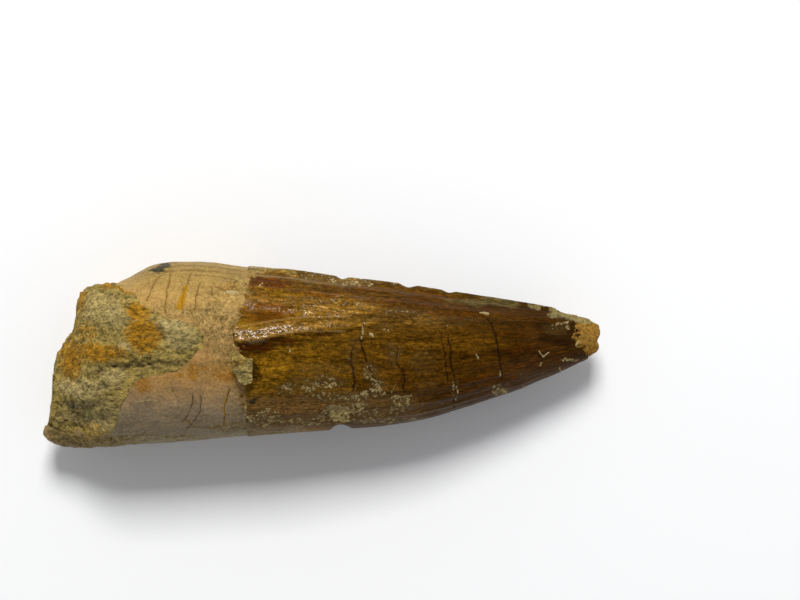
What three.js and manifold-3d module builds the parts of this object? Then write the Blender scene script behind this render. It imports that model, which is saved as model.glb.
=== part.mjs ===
// A fossil dinosaur tooth, lying on its side: a fluted, keeled conical crown with its tip broken off,
// a smooth root whose far end is broken, and the sandstone that is still cemented to them.
// Millimetres, +Z up. X runs from the broken root to the broken tip, +Y towards the sharper (keeled)
// margin, and Z up from the surface that the tooth rests on. The origin is the bottom centre.

import * as THREE from 'three';
import { ImprovedNoise } from 'three/addons/math/ImprovedNoise.js';
import { mergeVertices } from 'three/addons/utils/BufferGeometryUtils.js';
import Module from 'manifold-3d';

const wasm = await Module();
wasm.setup();

// ---------------------------------------------------------------- driving dimensions

const CLEARANCE = 0.3; // gap kept between two touching solids
const TOOTH_SEGMENTS = 96; // points round a section, 4 to each flute
const CORE_SEGMENTS = 32; // the same, where the sandstone hides the root
const MATRIX_SEGMENTS = 60;
const MATRIX_STATIONS = { from: -28.3, to: -10.6, gap: 0.68 };
const ROUNDNESS = 2.15; // superellipse power of a section: 2 is a true ellipse

// The tooth's two margins seen from above, as [x, y].
const UPPER_MARGIN = [
  [-28.4, -7.7], [-27.8, -4.6], [-27, -1.2], [-25.9, 1.2], [-24.9, 3.4], [-23.9, 5], [-22.9, 6.1],
  [-21.8, 6.9], [-20.8, 7.55], [-19.8, 8], [-18.8, 8.55], [-17.7, 9.1], [-16.7, 9.4], [-14.7, 9.55],
  [-11.6, 9.5], [-8.5, 9.1], [-6.5, 8.85], [-2.4, 8.4], [1.7, 7.8], [5.8, 7.35], [9.9, 6.75],
  [14, 6.1], [18.1, 5.45], [22.2, 4.8], [25.3, 4.2], [27.4, 3.6], [28.4, 3.1],
];
const LOWER_MARGIN = [
  [-28.4, -8.4], [-28, -9], [-27.4, -9.4], [-25.9, -9.6], [-23.9, -9.55], [-19.8, -9.2],
  [-14.7, -8.9], [-8.5, -8.3], [-4.4, -7.9], [-0.3, -7.6], [3.8, -7.3], [7.9, -6.85], [11, -6.3],
  [14, -5.4], [17.1, -4.4], [20.2, -3.35], [22.2, -2.5], [24.3, -1.65], [26.3, -0.7], [27.4, -0.2],
  [28.4, 0.4],
];
// The tooth's highest and lowest lines seen from the side, as [x, z].
const UPPER_FACE = [
  [-28.4, 5.6], [-27, 6.6], [-25, 8.6], [-23, 11], [-21, 12.2], [-19, 12.6], [-14, 12.8],
  [-8.5, 12.8], [0, 12.1], [5.8, 11.2], [11, 10.2], [16, 9.1], [20, 8], [24, 6.8], [27, 5.9],
  [28.4, 5.4],
];
const UNDER_FACE = [
  [-28.4, 3.2], [-27, 1.2], [-25, 0.1], [-23, -0.3], [-20, -0.35], [0, -0.35], [5, -0.2],
  [10, 0.15], [15, 0.8], [20, 1.6], [24, 2.3], [27, 2.9], [28.4, 3.1],
];

// Where the enamel stops, as [degrees round the section, x]. 0 is the keeled margin, 90 the top.
const CROWN_BASE = [
  [15, -7.4], [44, -7.3], [54, -7.6], [62, -8], [70, -8.4], [76, -8.8], [82, -8.6], [92, -8],
  [111, -7.6], [123, -8], [139, -7.5], [149, -8], [162, -7.4], [200, -7.8], [240, -7.1],
  [270, -7.7], [300, -8.5], [340, -7.9],
];
const TIP_BREAK = [
  [5, 22.8], [20, 24.4], [40, 25.7], [68, 26.1], [95, 25.9], [112, 26.7], [160, 27.2],
  [190, 27.2], [230, 26.3], [270, 25.4], [320, 23.8],
];
// The sections near these two edges are drawn along to follow them, from { x, and how far each way }.
const BASE_DRAW = { x: -7.9, before: 2.6, after: 2.6 };
const TIP_DRAW = { x: 26.2, before: 5.4, after: 2.1 };
const ENAMEL_STEP = 0.22; // how far the enamel stands above the dentine

const FLUTE_COUNT = 24;
const FLUTE_DEPTH = 0.09;
// The two keels run along the crown's margins, as { degrees, height, degrees of half width }.
const KEELS = [
  { at: 15, height: 0.3, halfWidth: 7 },
  { at: 188, height: 0.2, halfWidth: 8 },
];
// A long fold in the upper face: its crest as [x, degrees], and the degrees over which it falls off.
const FOLD_CREST = [[-9, 83], [-6.1, 81], [-2.1, 76.5], [2.4, 72], [8, 62], [14, 55]];
const FOLD = { height: 0.34, above: 14, below: 6, fadesFrom: -7, fadesTo: 9 };
// Bites out of the margins: chips along the keel and the notch in the lower margin.
const BITES = [
  { x: 2, at: 8, halfLength: 0.8, depth: 0.3 },
  { x: 8.7, at: 8, halfLength: 1.1, depth: 0.35 },
  { x: 12.9, at: 8, halfLength: 0.9, depth: 0.25 },
  { x: 1.8, at: 182, halfLength: 1.3, depth: 0.85 },
];

// The sandstone fills the broken side of the root to this depth, and stands a little above it.
const BREAK_DEPTH = 1.2;
const MATRIX_HEIGHT = 0.3;
// Its own upper margin at the root's end, where it stands out past the tooth's.
const MATRIX_UPPER_MARGIN = [
  [-28.3, -7.5], [-28.15, -6], [-27.9, -3.4], [-27.6, -0.9], [-27, 0.5], [-26.1, 1.5], [-25.5, 2.7],
  [-25.3, 4.5], [-24.8, 5.7], [-24.2, 6.3], [-23.3, 6.7], [-22.3, 7], [-20.8, 7.6], [-18.8, 8.55],
  [-16.7, 9.4], [-10.6, 9.4],
];
// Seen from the side, the sandstone reaches down to this line, as [x, z].
const MATRIX_REACH = [[-30, 0.7], [-26.5, 1.6], [-23, 4.8], [-19, 6.4], [-9, 6.4]];
// What of the root the sandstone covers, from above: its tongue narrows towards the crown.
const MATRIX_COVER = [
  [-28.8, -7.3], [-28.8, 3], [-26, 7.8], [-22, 7.5], [-20.3, 6.9], [-18.9, 6.3], [-18.3, 5.2],
  [-17.1, 4.6], [-15.1, 3.8], [-12.5, 3.1], [-11.6, 2.2], [-11.8, 0.8], [-13, -0.5], [-14.4, -1.4],
  [-16.4, -1.7], [-18.5, -2.5], [-19.5, -3.9], [-20.1, -5.3], [-20.7, -7.2], [-22.2, -8.4],
  [-25.9, -8.5],
];
// Humps and hollows of the sandstone's upper face, as [x, y, radius, height].
const MATRIX_LUMPS = [
  [-22.6, 4.6, 3.2, 0.6], [-18.6, 2, 2.4, 0.65], [-25.2, 0.2, 2.4, 0.5], [-25, -3.2, 2.2, 0.7],
  [-21.2, 1.4, 1.2, -0.3], [-14.6, 1.2, 2.2, 0.15], [-20.6, 6.3, 1.6, 0.4], [-24.4, -6.2, 2.4, -0.2],
  [-22, -2.4, 1.2, 0.3], [-26.6, -7, 1.2, 0.3],
];
// Steps in that face: along each line from above, the side towards -Y lies lower by the drop.
const MATRIX_LEDGES = [
  { line: [[-23.4, -2.6], [-22.9, -2.1], [-21.8, -0.9], [-20.8, -0.3], [-18, -0.1], [-14, -0.2]], drop: 0.5 },
  { line: [[-27.8, -4.4], [-26.5, -4.4], [-24.5, -4.9], [-22.9, -4.6], [-21.5, -3.9]], drop: 0.55 },
];
const LEDGE_WIDTH = 0.6;
const MATRIX_ROUGHNESS = { coarse: 0.55, coarseSize: 2.4, fine: 0.25, fineSize: 1.3 };

// The chip across the crown's base: its outline from above, and the heights that it spans.
const FLAKE_OUTLINE = [
  [-8.9, 0.5], [-8.2, 0.55], [-7.7, 0], [-6.8, -0.3], [-6.75, -2.6], [-7.5, -2.8], [-8.2, -2.4],
  [-8.65, -1.5],
];
const FLAKE_BOTTOM = 12.2;
const FLAKE_TOP = 13.75;

// The plug lodged in the lower margin, by the notch: a lumpy disc that lies along the tooth's slope.
const PLUG_CENTRE = new THREE.Vector3(1.6, -5.75, 9.05);
const PLUG_RADII = new THREE.Vector3(1.55, 1.35, 0.75);
const PLUG_SLOPE = 43; // degrees

// ---------------------------------------------------------------- curves and noise

const perlin = new ImprovedNoise();

// A smooth curve through [position, value] pairs, as a function of position.
function curve(points) {
  const positions = new Float32Array(points.map((p) => p[0]));
  const values = new Float32Array(points.map((p) => p[1]));
  const interpolant = new THREE.CubicInterpolant(positions, values, 1, new Float32Array(1));
  return (position) => interpolant.evaluate(position)[0];
}

// The same round a section: the pairs hold degrees, and the curve closes on itself.
function loopCurve(points) {
  const turned = (turn) => points.map(([degrees, value]) => [degrees + turn, value]);
  return curve([...turned(-360), ...points, ...turned(360)]);
}

// 1 at the centre, falling smoothly to 0 at a distance of one.
function bump(distance) {
  const t = THREE.MathUtils.clamp(1 - Math.abs(distance), 0, 1);
  return t * t * (3 - 2 * t);
}

// The shorter way round from one angle to another, in degrees.
function turnBetween(degrees, at) {
  return THREE.MathUtils.euclideanModulo(degrees - at + 180, 360) - 180;
}

const upperMargin = curve(UPPER_MARGIN);
const lowerMargin = curve(LOWER_MARGIN);
const upperFace = curve(UPPER_FACE);
const underFace = curve(UNDER_FACE);
const crownBase = loopCurve(CROWN_BASE);
const tipBreak = loopCurve(TIP_BREAK);
const foldCrest = curve(FOLD_CREST);

// ---------------------------------------------------------------- solids

// A closed geometry through rings of points, each ring closed and the ends drawn to end points.
function loft(rings, firstEnd, lastEnd) {
  const count = rings[0].length;
  const points = [...rings.flat(), firstEnd, lastEnd];
  const first = points.length - 2;
  const last = points.length - 1;
  const index = [];
  for (let i = 0; i < count; i++) {
    const j = (i + 1) % count;
    for (let ring = 0; ring < rings.length - 1; ring++) {
      const a = ring * count;
      const b = a + count;
      index.push(a + i, a + j, b + i, a + j, b + j, b + i);
    }
    const end = (rings.length - 1) * count;
    index.push(first, j, i, last, end + i, end + j);
  }
  return new THREE.BufferGeometry().setFromPoints(points).setIndex(index);
}

function solid(geometry) {
  const closed = geometry.clone();
  closed.deleteAttribute('normal');
  closed.deleteAttribute('uv');
  const merged = mergeVertices(closed);
  return new wasm.Manifold(new wasm.Mesh({
    numProp: 3,
    vertProperties: merged.attributes.position.array,
    triVerts: new Uint32Array(merged.index.array),
  }));
}

// The largest body that a cut leaves, without its crumbs.
function largestBody(manifold) {
  return manifold.decompose().reduce((a, b) => (a.volume() > b.volume() ? a : b));
}

function geometryOf(manifold) {
  const { vertProperties, triVerts } = manifold.getMesh();
  const geometry = new THREE.BufferGeometry();
  geometry.setAttribute('position', new THREE.BufferAttribute(vertProperties, 3));
  geometry.setIndex(new THREE.BufferAttribute(triVerts, 1));
  return geometry;
}

function named(name, manifold, material) {
  const mesh = new THREE.Mesh(geometryOf(manifold), material);
  mesh.name = name;
  return mesh;
}

// A point of the tooth's section at x, raised by a relief. A small section isn't sunk inside out.
function sectionPoint(x, degrees, relief, margin = upperMargin) {
  const angle = THREE.MathUtils.degToRad(degrees);
  const rounded = (v) => Math.sign(v) * Math.abs(v) ** (2 / ROUNDNESS);
  const [low, high, under, over] = [lowerMargin(x), margin(x), underFace(x), upperFace(x)];
  const proud = Math.max(relief, -0.3 * Math.min(high - low, over - under));
  return new THREE.Vector3(
    x,
    (low + high) / 2 + rounded(Math.cos(angle)) * (high - low) / 2 + Math.cos(angle) * proud,
    (under + over) / 2 + rounded(Math.sin(angle)) * (over - under) / 2 + Math.sin(angle) * proud,
  );
}

// ---------------------------------------------------------------- tooth

// How far the tooth's surface stands above its plain section.
function toothRelief(x, degrees) {
  const { smoothstep } = THREE.MathUtils;
  const enamel = smoothstep(x, crownBase(degrees) - 0.1, crownBase(degrees) + 0.1)
    - smoothstep(x, tipBreak(degrees) - 0.1, tipBreak(degrees) + 0.1);
  const flutes = smoothstep(x, -9.5, -4) - smoothstep(x, 14, 25);
  const uneven = 0.65 + 0.35 * Math.sin(THREE.MathUtils.degToRad(3 * degrees + 40));
  const wave = Math.cos(THREE.MathUtils.degToRad(FLUTE_COUNT * degrees));
  let relief = ENAMEL_STEP * enamel + FLUTE_DEPTH * flutes * uneven * wave;
  for (const keel of KEELS) {
    relief += keel.height * enamel * bump(turnBetween(degrees, keel.at) / (2 * keel.halfWidth));
  }
  const crest = foldCrest(THREE.MathUtils.clamp(x, FOLD_CREST[0][0], FOLD_CREST.at(-1)[0]));
  const off = turnBetween(degrees, crest);
  const fold = 1 - smoothstep(x, FOLD.fadesFrom, FOLD.fadesTo);
  relief += FOLD.height * enamel * fold * bump(off / (off > 0 ? FOLD.below : FOLD.above));
  for (const bite of BITES) {
    const near = bump((x - bite.x) / bite.halfLength) * bump(turnBetween(degrees, bite.at) / 32);
    relief -= bite.depth * near;
  }
  const rough = x > tipBreak(degrees) ? 0.14 : 0.04;
  return relief + rough * perlin.noise(x * 1.3, degrees * 0.12, 4.5);
}

// Stations along the tooth. Those next to the crown's base and the tip's break are drawn to them.
const TOOTH_STATIONS = [
  -28.4, -27.7, -26.6, -25.2, -23.4, -21.2, -19, -16.5, -14, -11.5, -9.3, -8.05, -7.75, -6.4, -4.4,
  -2, 0, 1, 2, 3, 4.5, 6.6, 7.8, 8.7, 9.6, 11.4, 12.9, 14.8, 17.4, 20, 22.4, 24.6, 26.05, 26.35,
  27.4, 28.4,
];

// How far a point of a station is drawn along X towards an edge that crosses it.
function drawTo(edge, station, { x, before, after }) {
  return bump((station - x) / (station < x ? before : after)) * (edge - x);
}

function toothRing(station, grown, segments) {
  const ring = [];
  for (let i = 0; i < segments; i++) {
    const degrees = 360 * i / segments;
    const x = station + drawTo(crownBase(degrees), station, BASE_DRAW)
      + drawTo(tipBreak(degrees), station, TIP_DRAW);
    ring.push(sectionPoint(x, degrees, toothRelief(x, degrees) + grown));
  }
  return ring;
}

function toothForm(grown = 0, segments = TOOTH_SEGMENTS) {
  const rings = TOOTH_STATIONS.map((station) => toothRing(station, grown, segments));
  // The two broken ends are dished a little, so each ring is closed at a point inside it.
  const rootEnd = new THREE.Vector3(-28.3 - grown, -8.1, 4.3);
  const tipEnd = new THREE.Vector3(28.05 + grown, 1.7, 4.3);
  return solid(loft(rings, rootEnd, tipEnd));
}

// ---------------------------------------------------------------- sandstone

// How far the sandstone's upper face stands above the root's plain section.
function matrixRelief({ x, y, z }) {
  const { coarse, coarseSize, fine, fineSize } = MATRIX_ROUGHNESS;
  let relief = MATRIX_HEIGHT
    + coarse * perlin.noise(x / coarseSize, y / coarseSize, z / coarseSize)
    + fine * perlin.noise(x / fineSize, y / fineSize, z / fineSize);
  for (const [lumpX, lumpY, radius, height] of MATRIX_LUMPS) {
    relief += height * bump(Math.hypot(x - lumpX, y - lumpY) / (1.5 * radius));
  }
  for (const { line, drop } of MATRIX_LEDGES) {
    const [from, to] = [line[0][0], line.at(-1)[0]];
    const within = bump((x - (from + to) / 2) / (0.75 * (to - from)));
    const edge = curve(line)(THREE.MathUtils.clamp(x, from, to));
    relief -= drop * within * THREE.MathUtils.smoothstep(edge - y, 0, LEDGE_WIDTH);
  }
  return relief;
}

function matrixSkin() {
  const rings = [];
  const margin = curve(MATRIX_UPPER_MARGIN);
  const { from, to, gap } = MATRIX_STATIONS;
  for (let x = from; x <= to; x += gap) {
    const ring = [];
    for (let i = 0; i < MATRIX_SEGMENTS; i++) {
      const degrees = 360 * i / MATRIX_SEGMENTS;
      const relief = matrixRelief(sectionPoint(x, degrees, 0, margin));
      ring.push(sectionPoint(x, degrees, relief, margin));
    }
    rings.push(ring);
  }
  return solid(loft(rings, new THREE.Vector3(from - 0.1, -8, 4.3), new THREE.Vector3(to + 0.2, 0, 6)));
}

// The outline with each point moved out, away from the outline's inside, by a distance.
function widened(outline, distance) {
  return outline.map(([x, y], i) => {
    const [beforeX, beforeY] = outline.at(i - 1);
    const [afterX, afterY] = outline[(i + 1) % outline.length];
    const along = new THREE.Vector2(afterX - beforeX, afterY - beforeY).normalize();
    return [x - along.y * distance, y + along.x * distance];
  });
}

// The room that the sandstone takes: over its outline, and above the line that it reaches down to.
function matrixRoom(clearance) {
  const side = [...MATRIX_REACH.map(([x, z]) => [x, z - clearance]), [-9, 20], [-30, 20]];
  const upright = new THREE.Matrix4().makeRotationX(Math.PI / 2);
  return prism(widened(MATRIX_COVER, clearance), 0, 20).intersect(prism(side, -20, 20, upright));
}

// A prism over an outline, between two heights, turned as asked.
function prism(outline, bottom, top, turn = new THREE.Matrix4()) {
  const shape = new THREE.Shape(outline.map(([x, y]) => new THREE.Vector2(x, y)));
  const geometry = new THREE.ExtrudeGeometry(shape, { depth: top - bottom, bevelEnabled: false });
  return solid(geometry.translate(0, 0, bottom).applyMatrix4(turn));
}

function plugForm(grown = 0) {
  const slope = new THREE.Matrix4().makeRotationX(THREE.MathUtils.degToRad(PLUG_SLOPE));
  const ball = new THREE.IcosahedronGeometry(1, 2);
  const position = ball.attributes.position;
  const point = new THREE.Vector3();
  for (let i = 0; i < position.count; i++) {
    point.fromBufferAttribute(position, i);
    const lumpy = 1 + 0.25 * perlin.noise(point.x * 1.7 + 3, point.y * 1.7, point.z * 1.7);
    point.multiplyScalar(lumpy).multiply(PLUG_RADII).addScaledVector(point.clone().normalize(), grown);
    position.setXYZ(i, ...point.applyMatrix4(slope).add(PLUG_CENTRE));
  }
  return solid(ball);
}

// ---------------------------------------------------------------- object

// The tooth rests on a worn flat along its underside.
const floor = solid(new THREE.BoxGeometry(80, 40, 10).translate(0, 0, -5));
const rootBreak = matrixRoom(CLEARANCE).subtract(toothForm(-BREAK_DEPTH, CORE_SEGMENTS));
const wholeTooth = toothForm().subtract(floor);
const tooth = largestBody(wholeTooth.subtract(rootBreak).subtract(plugForm(CLEARANCE)));

const rootCore = toothForm(CLEARANCE - BREAK_DEPTH, CORE_SEGMENTS);
const matrix = largestBody(matrixSkin().intersect(matrixRoom(0)).subtract(rootCore));
const flake = prism(FLAKE_OUTLINE, FLAKE_BOTTOM, FLAKE_TOP).subtract(toothForm(CLEARANCE));

const fossilTooth = new THREE.MeshStandardMaterial({ color: 0x6e4a1c, roughness: 0.3 });
const sandstone = new THREE.MeshStandardMaterial({ color: 0x968a5c, roughness: 0.95 });

const part = new THREE.Group();
part.name = 'fossil_tooth';
part.add(
  named('tooth', tooth, fossilTooth),
  named('sandstone_matrix', matrix, sandstone),
  named('matrix_flake', flake, sandstone),
  named('notch_sandstone', plugForm(), sandstone),
);

export default part;
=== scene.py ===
"""The finish of a fossil dinosaur tooth: glossy brown enamel, a tan root, and sandstone cemented to it."""

import bpy
import numpy as np
from bpy.props import FloatProperty, FloatVectorProperty, PointerProperty
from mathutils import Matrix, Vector, noise


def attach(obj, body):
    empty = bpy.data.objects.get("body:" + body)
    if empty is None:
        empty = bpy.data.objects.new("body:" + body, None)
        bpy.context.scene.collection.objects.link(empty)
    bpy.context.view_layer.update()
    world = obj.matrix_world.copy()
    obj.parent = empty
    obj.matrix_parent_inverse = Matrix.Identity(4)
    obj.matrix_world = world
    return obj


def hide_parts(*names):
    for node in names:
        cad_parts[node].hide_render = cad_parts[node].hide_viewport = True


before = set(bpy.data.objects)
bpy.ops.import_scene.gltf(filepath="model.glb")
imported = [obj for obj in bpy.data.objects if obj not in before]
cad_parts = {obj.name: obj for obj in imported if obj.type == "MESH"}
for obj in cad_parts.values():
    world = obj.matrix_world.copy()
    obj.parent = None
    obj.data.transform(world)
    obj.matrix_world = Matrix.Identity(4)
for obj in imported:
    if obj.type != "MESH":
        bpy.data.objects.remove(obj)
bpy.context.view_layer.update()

bl_info = {
    "name": "Fossil dinosaur tooth",
    "version": (1, 0, 0),
    "blender": (4, 5, 0),
    "location": "View3D > Sidebar > Fossil",
    "description": "Builds a fossil dinosaur tooth with its sandstone around the packed CAD part",
    "category": "Object",
}

MM = 0.001

# ------------------------------------------------------------------ form of the tooth, in millimetres
# X runs from the broken root to the broken tip, +Y towards the keeled margin, and Z up.

# The plain form: (x, y) along its two margins, and (x, z) along its two faces.
UPPER_MARGIN = [
    (-28.4, -7.7), (-27.8, -4.6), (-27, -1.2), (-25.9, 1.2), (-24.9, 3.4), (-23.9, 5), (-22.9, 6.1),
    (-21.8, 6.9), (-20.8, 7.55), (-19.8, 8), (-18.8, 8.55), (-17.7, 9.1), (-16.7, 9.4), (-14.7, 9.55),
    (-11.6, 9.5), (-8.5, 9.1), (-6.5, 8.85), (-2.4, 8.4), (1.7, 7.8), (5.8, 7.35), (9.9, 6.75),
    (14, 6.1), (18.1, 5.45), (22.2, 4.8), (25.3, 4.2), (27.4, 3.6), (28.4, 3.1),
]
LOWER_MARGIN = [
    (-28.4, -8.4), (-28, -9), (-27.4, -9.4), (-25.9, -9.6), (-23.9, -9.55), (-19.8, -9.2),
    (-14.7, -8.9), (-8.5, -8.3), (-4.4, -7.9), (-0.3, -7.6), (3.8, -7.3), (7.9, -6.85), (11, -6.3),
    (14, -5.4), (17.1, -4.4), (20.2, -3.35), (22.2, -2.5), (24.3, -1.65), (26.3, -0.7), (27.4, -0.2),
    (28.4, 0.4),
]
UPPER_FACE = [
    (-28.4, 5.6), (-27, 6.6), (-25, 8.6), (-23, 11), (-21, 12.2), (-19, 12.6), (-14, 12.8),
    (-8.5, 12.8), (0, 12.1), (5.8, 11.2), (11, 10.2), (16, 9.1), (20, 8), (24, 6.8), (27, 5.9),
    (28.4, 5.4),
]
UNDER_FACE = [
    (-28.4, 3.2), (-27, 1.2), (-25, 0.1), (-23, -0.3), (-20, -0.35), (0, -0.35), (5, -0.2),
    (10, 0.15), (15, 0.8), (20, 1.6), (24, 2.3), (27, 2.9), (28.4, 3.1),
]
ROUNDNESS = 2.15  # superellipse power of a section

# Where the enamel stops, as (degrees round the section, x). 0 is the keeled margin, 90 the top.
CROWN_BASE = [
    (15, -7.4), (44, -7.3), (54, -7.6), (62, -8.0), (70, -8.4), (76, -8.8), (82, -8.6), (92, -8.0),
    (111, -7.6), (123, -8.0), (139, -7.5), (149, -8.0), (162, -7.4), (200, -7.8), (240, -7.1),
    (270, -7.7), (300, -8.5), (340, -7.9),
]
TIP_BREAK = [
    (5, 22.8), (20, 24.4), (40, 25.7), (68, 26.1), (95, 25.9), (112, 26.7), (160, 27.2), (190, 27.2),
    (230, 26.3), (270, 25.4), (320, 23.8),
]
CROWN_BASE_X = -7.9
CROWN_BASE_REACH = 2.6  # how far from it the rings of points still follow the crown's edge
TIP_STARTS = (20, 22)  # along X, bare dentine changes here from the root's relief to the broken tip's
TIP_SIDE_X = 15  # and here from the root's colours to the tip's
FLUTE_COUNT = 24
FLUTES_RISE, FLUTES_FADE = (-9.5, -4), (14, 25)  # where along X they deepen and run out
KEELS = [(15, 0.3, 9), (188, 0.12, 12)]  # degrees, height, degrees of half width
KEEL_START = (-8.5, -3)
# The long fold in the upper face: (x, degrees) along its sharp lower edge, and how it rises to it.
FOLD_EDGE = [(-9, 85), (-6.1, 82.5), (-2.1, 77.5), (2.4, 72.5), (8, 62), (14, 55)]
FOLD_HEIGHT, FOLD_FLAT, FOLD_DROP = 0.34, 11.5, 1.6
FOLD_FADE = (-6, 12)
# Bites out of the margins: (x, degrees, half length, depth).
BITES = [(2, 8, 0.8, 0.3), (8.7, 8, 1.1, 0.35), (12.9, 8, 0.9, 0.25), (1.8, 182, 1.3, 0.85)]
BITE_HALF_ANGLE = 32
# The shallow seat of the plug by the lowest bite: x, degrees, half length, half width in degrees, depth.
PLUG_SEAT = (1.6, 143, 2.1, 16, 0.6)

# Rings of points along the tooth: (from x, to x, how many), closest where the enamel stops.
RING_RUNS = [(-28.4, -9.6, 110), (-9.6, -7.0, 36), (-7.0, 22, 200), (22, 28.4, 64)]
# Points round a ring: from these degrees to those, how many between them, and how many on the rest.
TOOTH_SEGMENTS = (0, 180, 176, 60)
TIP_CAP = (0.97, 0.05, 10)  # rings that close the tip: first and last share of its section, how many
TIP_BULGE = 0.12
# Layers of noise, each (height, size of the lumps, octaves, seed).
ENAMEL_EDGE_JAGS = [(0.3, 1.0, 4, 1), (0.14, 0.35, 2, 9)]
TIP_GRANULES = [(0.13, 1.1, 3, 3), (0.07, 0.4, 2, 13)]
ROOT_UNEVEN, WEATHERED_RELIEF, GRIT_RELIEF = 0.05, 0.26, 0.12  # heights of the root's lumps
ENAMEL_UNEVEN, ENAMEL_DIMPLES, POLISH_DIMPLES = 0.02, 0.015, 0.03  # and of the enamel's
SPALL_DEPTH, MARK_HEIGHT = 0.06, 0.05  # of the enamel lost under the deposit, and of the pale marks
ROOT_NUB = 0.45  # how far the root's broken end stands out at its lower corner
TIP_DENT = (1.4, 0.7, 0.22)  # a dent in the broken end: y, half width, depth
ROOT_END, TIP_END = (-28.4, -27.2), (27.6, 28.4)  # where along X the two ends take those forms
GRAIN_RADIUS = 6  # of the round rod that the enamel's grain is laid out on

# ------------------------------------------------------------------ form of the sandstone, in millimetres

MATRIX_HEIGHT = 0.3  # how far it stands above the root's plain section
# Its own upper margin at the root's end, where it stands out past the tooth's.
MATRIX_UPPER_MARGIN = [
    (-28.4, -7.6), (-28.15, -6), (-27.9, -3.4), (-27.6, -0.9), (-27, 0.5), (-26.1, 1.5), (-25.5, 2.7),
    (-25.3, 4.5), (-24.8, 5.7), (-24.2, 6.3), (-23.3, 6.7), (-22.3, 7), (-20.8, 7.6), (-18.8, 8.55),
    (-16.7, 9.4), (-10.4, 9.4),
]
# What of the root it covers, from above: its tongue narrows towards the crown.
MATRIX_COVER = [
    (-28.8, -7.3), (-28.8, 3), (-26, 7.8), (-22, 7.5), (-20.3, 6.9), (-18.9, 6.3), (-18.3, 5.2),
    (-17.1, 4.6), (-15.1, 3.8), (-12.5, 3.1), (-11.6, 2.2), (-11.8, 0.8), (-13.0, -0.5), (-14.4, -1.4),
    (-16.4, -1.7), (-18.5, -2.5), (-19.5, -3.9), (-20.1, -5.3), (-20.7, -7.2), (-22.2, -8.4),
    (-25.9, -8.5),
]
# How far it reaches down: (x, z).
MATRIX_REACH = [(-30, 0.7), (-26.5, 1.6), (-23, 4.8), (-19, 6.4), (-9, 6.4)]
# Humps and hollows of its upper face: (x, y, radius, height).
MATRIX_LUMPS = [
    (-22.6, 4.6, 3.2, 0.6), (-18.6, 2, 2.4, 0.65), (-25.2, 0.2, 2.4, 0.5), (-25, -3.2, 2.2, 0.7),
    (-21.2, 1.4, 1.2, -0.3), (-14.6, 1.2, 2.2, 0.15), (-20.6, 6.3, 1.6, 0.4), (-24.4, -6.2, 2.4, -0.2),
    (-22, -2.4, 1.2, 0.3), (-26.6, -7, 1.2, 0.3),
]
# Steps in it: along each line from above, the side towards -Y lies lower by the drop.
MATRIX_LEDGES = [
    ([(-23.4, -2.6), (-22.9, -2.1), (-21.8, -0.9), (-20.8, -0.3), (-18, -0.1), (-14, -0.2)], 0.5),
    ([(-27.8, -4.4), (-26.5, -4.4), (-24.5, -4.9), (-22.9, -4.6), (-21.5, -3.9)], 0.55),
]
LEDGE_WIDTH = 0.6
MATRIX_RUN = (-28.45, -10.6, 178)  # its rings of points: from x, to x, how many
MATRIX_SEGMENTS = (-15, 195, 290, 34)  # the points round a ring, as for the tooth
SUNK = 0.5  # how deep the skin lies inside the tooth where no stone is
RIM = 0.04  # how far its thin edge stands out of the tooth
STONE_FLOOR = 0.05  # how far it stays off the floor
STONE_RAGGED = 0.3  # how jagged it is at the root's end
STONE_RAGGED_ENDS = (-26, -20)  # where along X that fades out
GRAIN_RELIEF, FINE_GRAIN_RELIEF, CREVICE_DEPTH = 0.06, 0.045, 0.11
BREAK_DEPTH = 1.2  # how deep the root is broken away under the stone
CHIP_VOXEL = 0.06  # spacing of the points of a small chip
PRESSED_FROM, PRESSED_TO = 0.45, 0.85  # a chip's points nearer to the tooth than this lie on it

# ------------------------------------------------------------------ cracks and stains, in millimetres

STAIN_WANDER = 0.45  # how far the outlines of the stains wander

# Cracks that cross the tooth, in order along it: their points (x, y) from +Y to -Y, and their width.
CRACKS = {
    "crown_cracks": [
        ([(3.2, 1), (3, 0.1), (3.1, -1.2), (3.3, -2.5), (3.1, -3.6)], 0.09),
        ([(4.4, 3.4), (4.2, 2.6), (4, 1.3), (4.5, -0.4), (4.9, -1.4), (5.7, -2.9)], 0.13),
        ([(7.6, 0.8), (7.7, -0.9), (8.2, -1.6), (8.3, -3.6)], 0.07),
        ([(12, 2.4), (12.2, 1.1), (12.5, -0.4), (12.7, -2.5)], 0.07),
        ([(12.8, 2), (13, 0.6), (13.1, -0.9), (13.5, -2.5), (13.5, -4), (13.2, -5.7)], 0.09),
        ([(16.7, 3.6), (17.3, 2.8), (17.7, 1.4), (17.9, 0.1), (18.1, -1.7), (18.4, -3)], 0.13),
    ],
    "root_cracks_above": [
        ([(-15.4, 8.8), (-16.9, 7.4), (-17.2, 6.4), (-17.5, 5.6)], 0.11),
        ([(-15.3, 8.4), (-15.4, 7), (-15.5, 6), (-15.6, 4.4)], 0.13),
        ([(-13.2, 8.3), (-13.6, 6.9), (-13.8, 6.3), (-13.9, 4.8)], 0.12),
        ([(-12.2, 7.3), (-12.5, 6.1), (-12.6, 4.6)], 0.09),
    ],
    "root_cracks_below": [
        ([(-12.7, -3.9), (-13.1, -5.4), (-13.6, -6.1), (-14, -6.8)], 0.08),
        ([(-12, -3.9), (-12.1, -5.4), (-12.8, -6.5), (-13.6, -7.4)], 0.07),
        ([(-9.1, -3.3), (-9.6, -4.9), (-9.8, -6.8)], 0.10),
    ],
}
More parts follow.
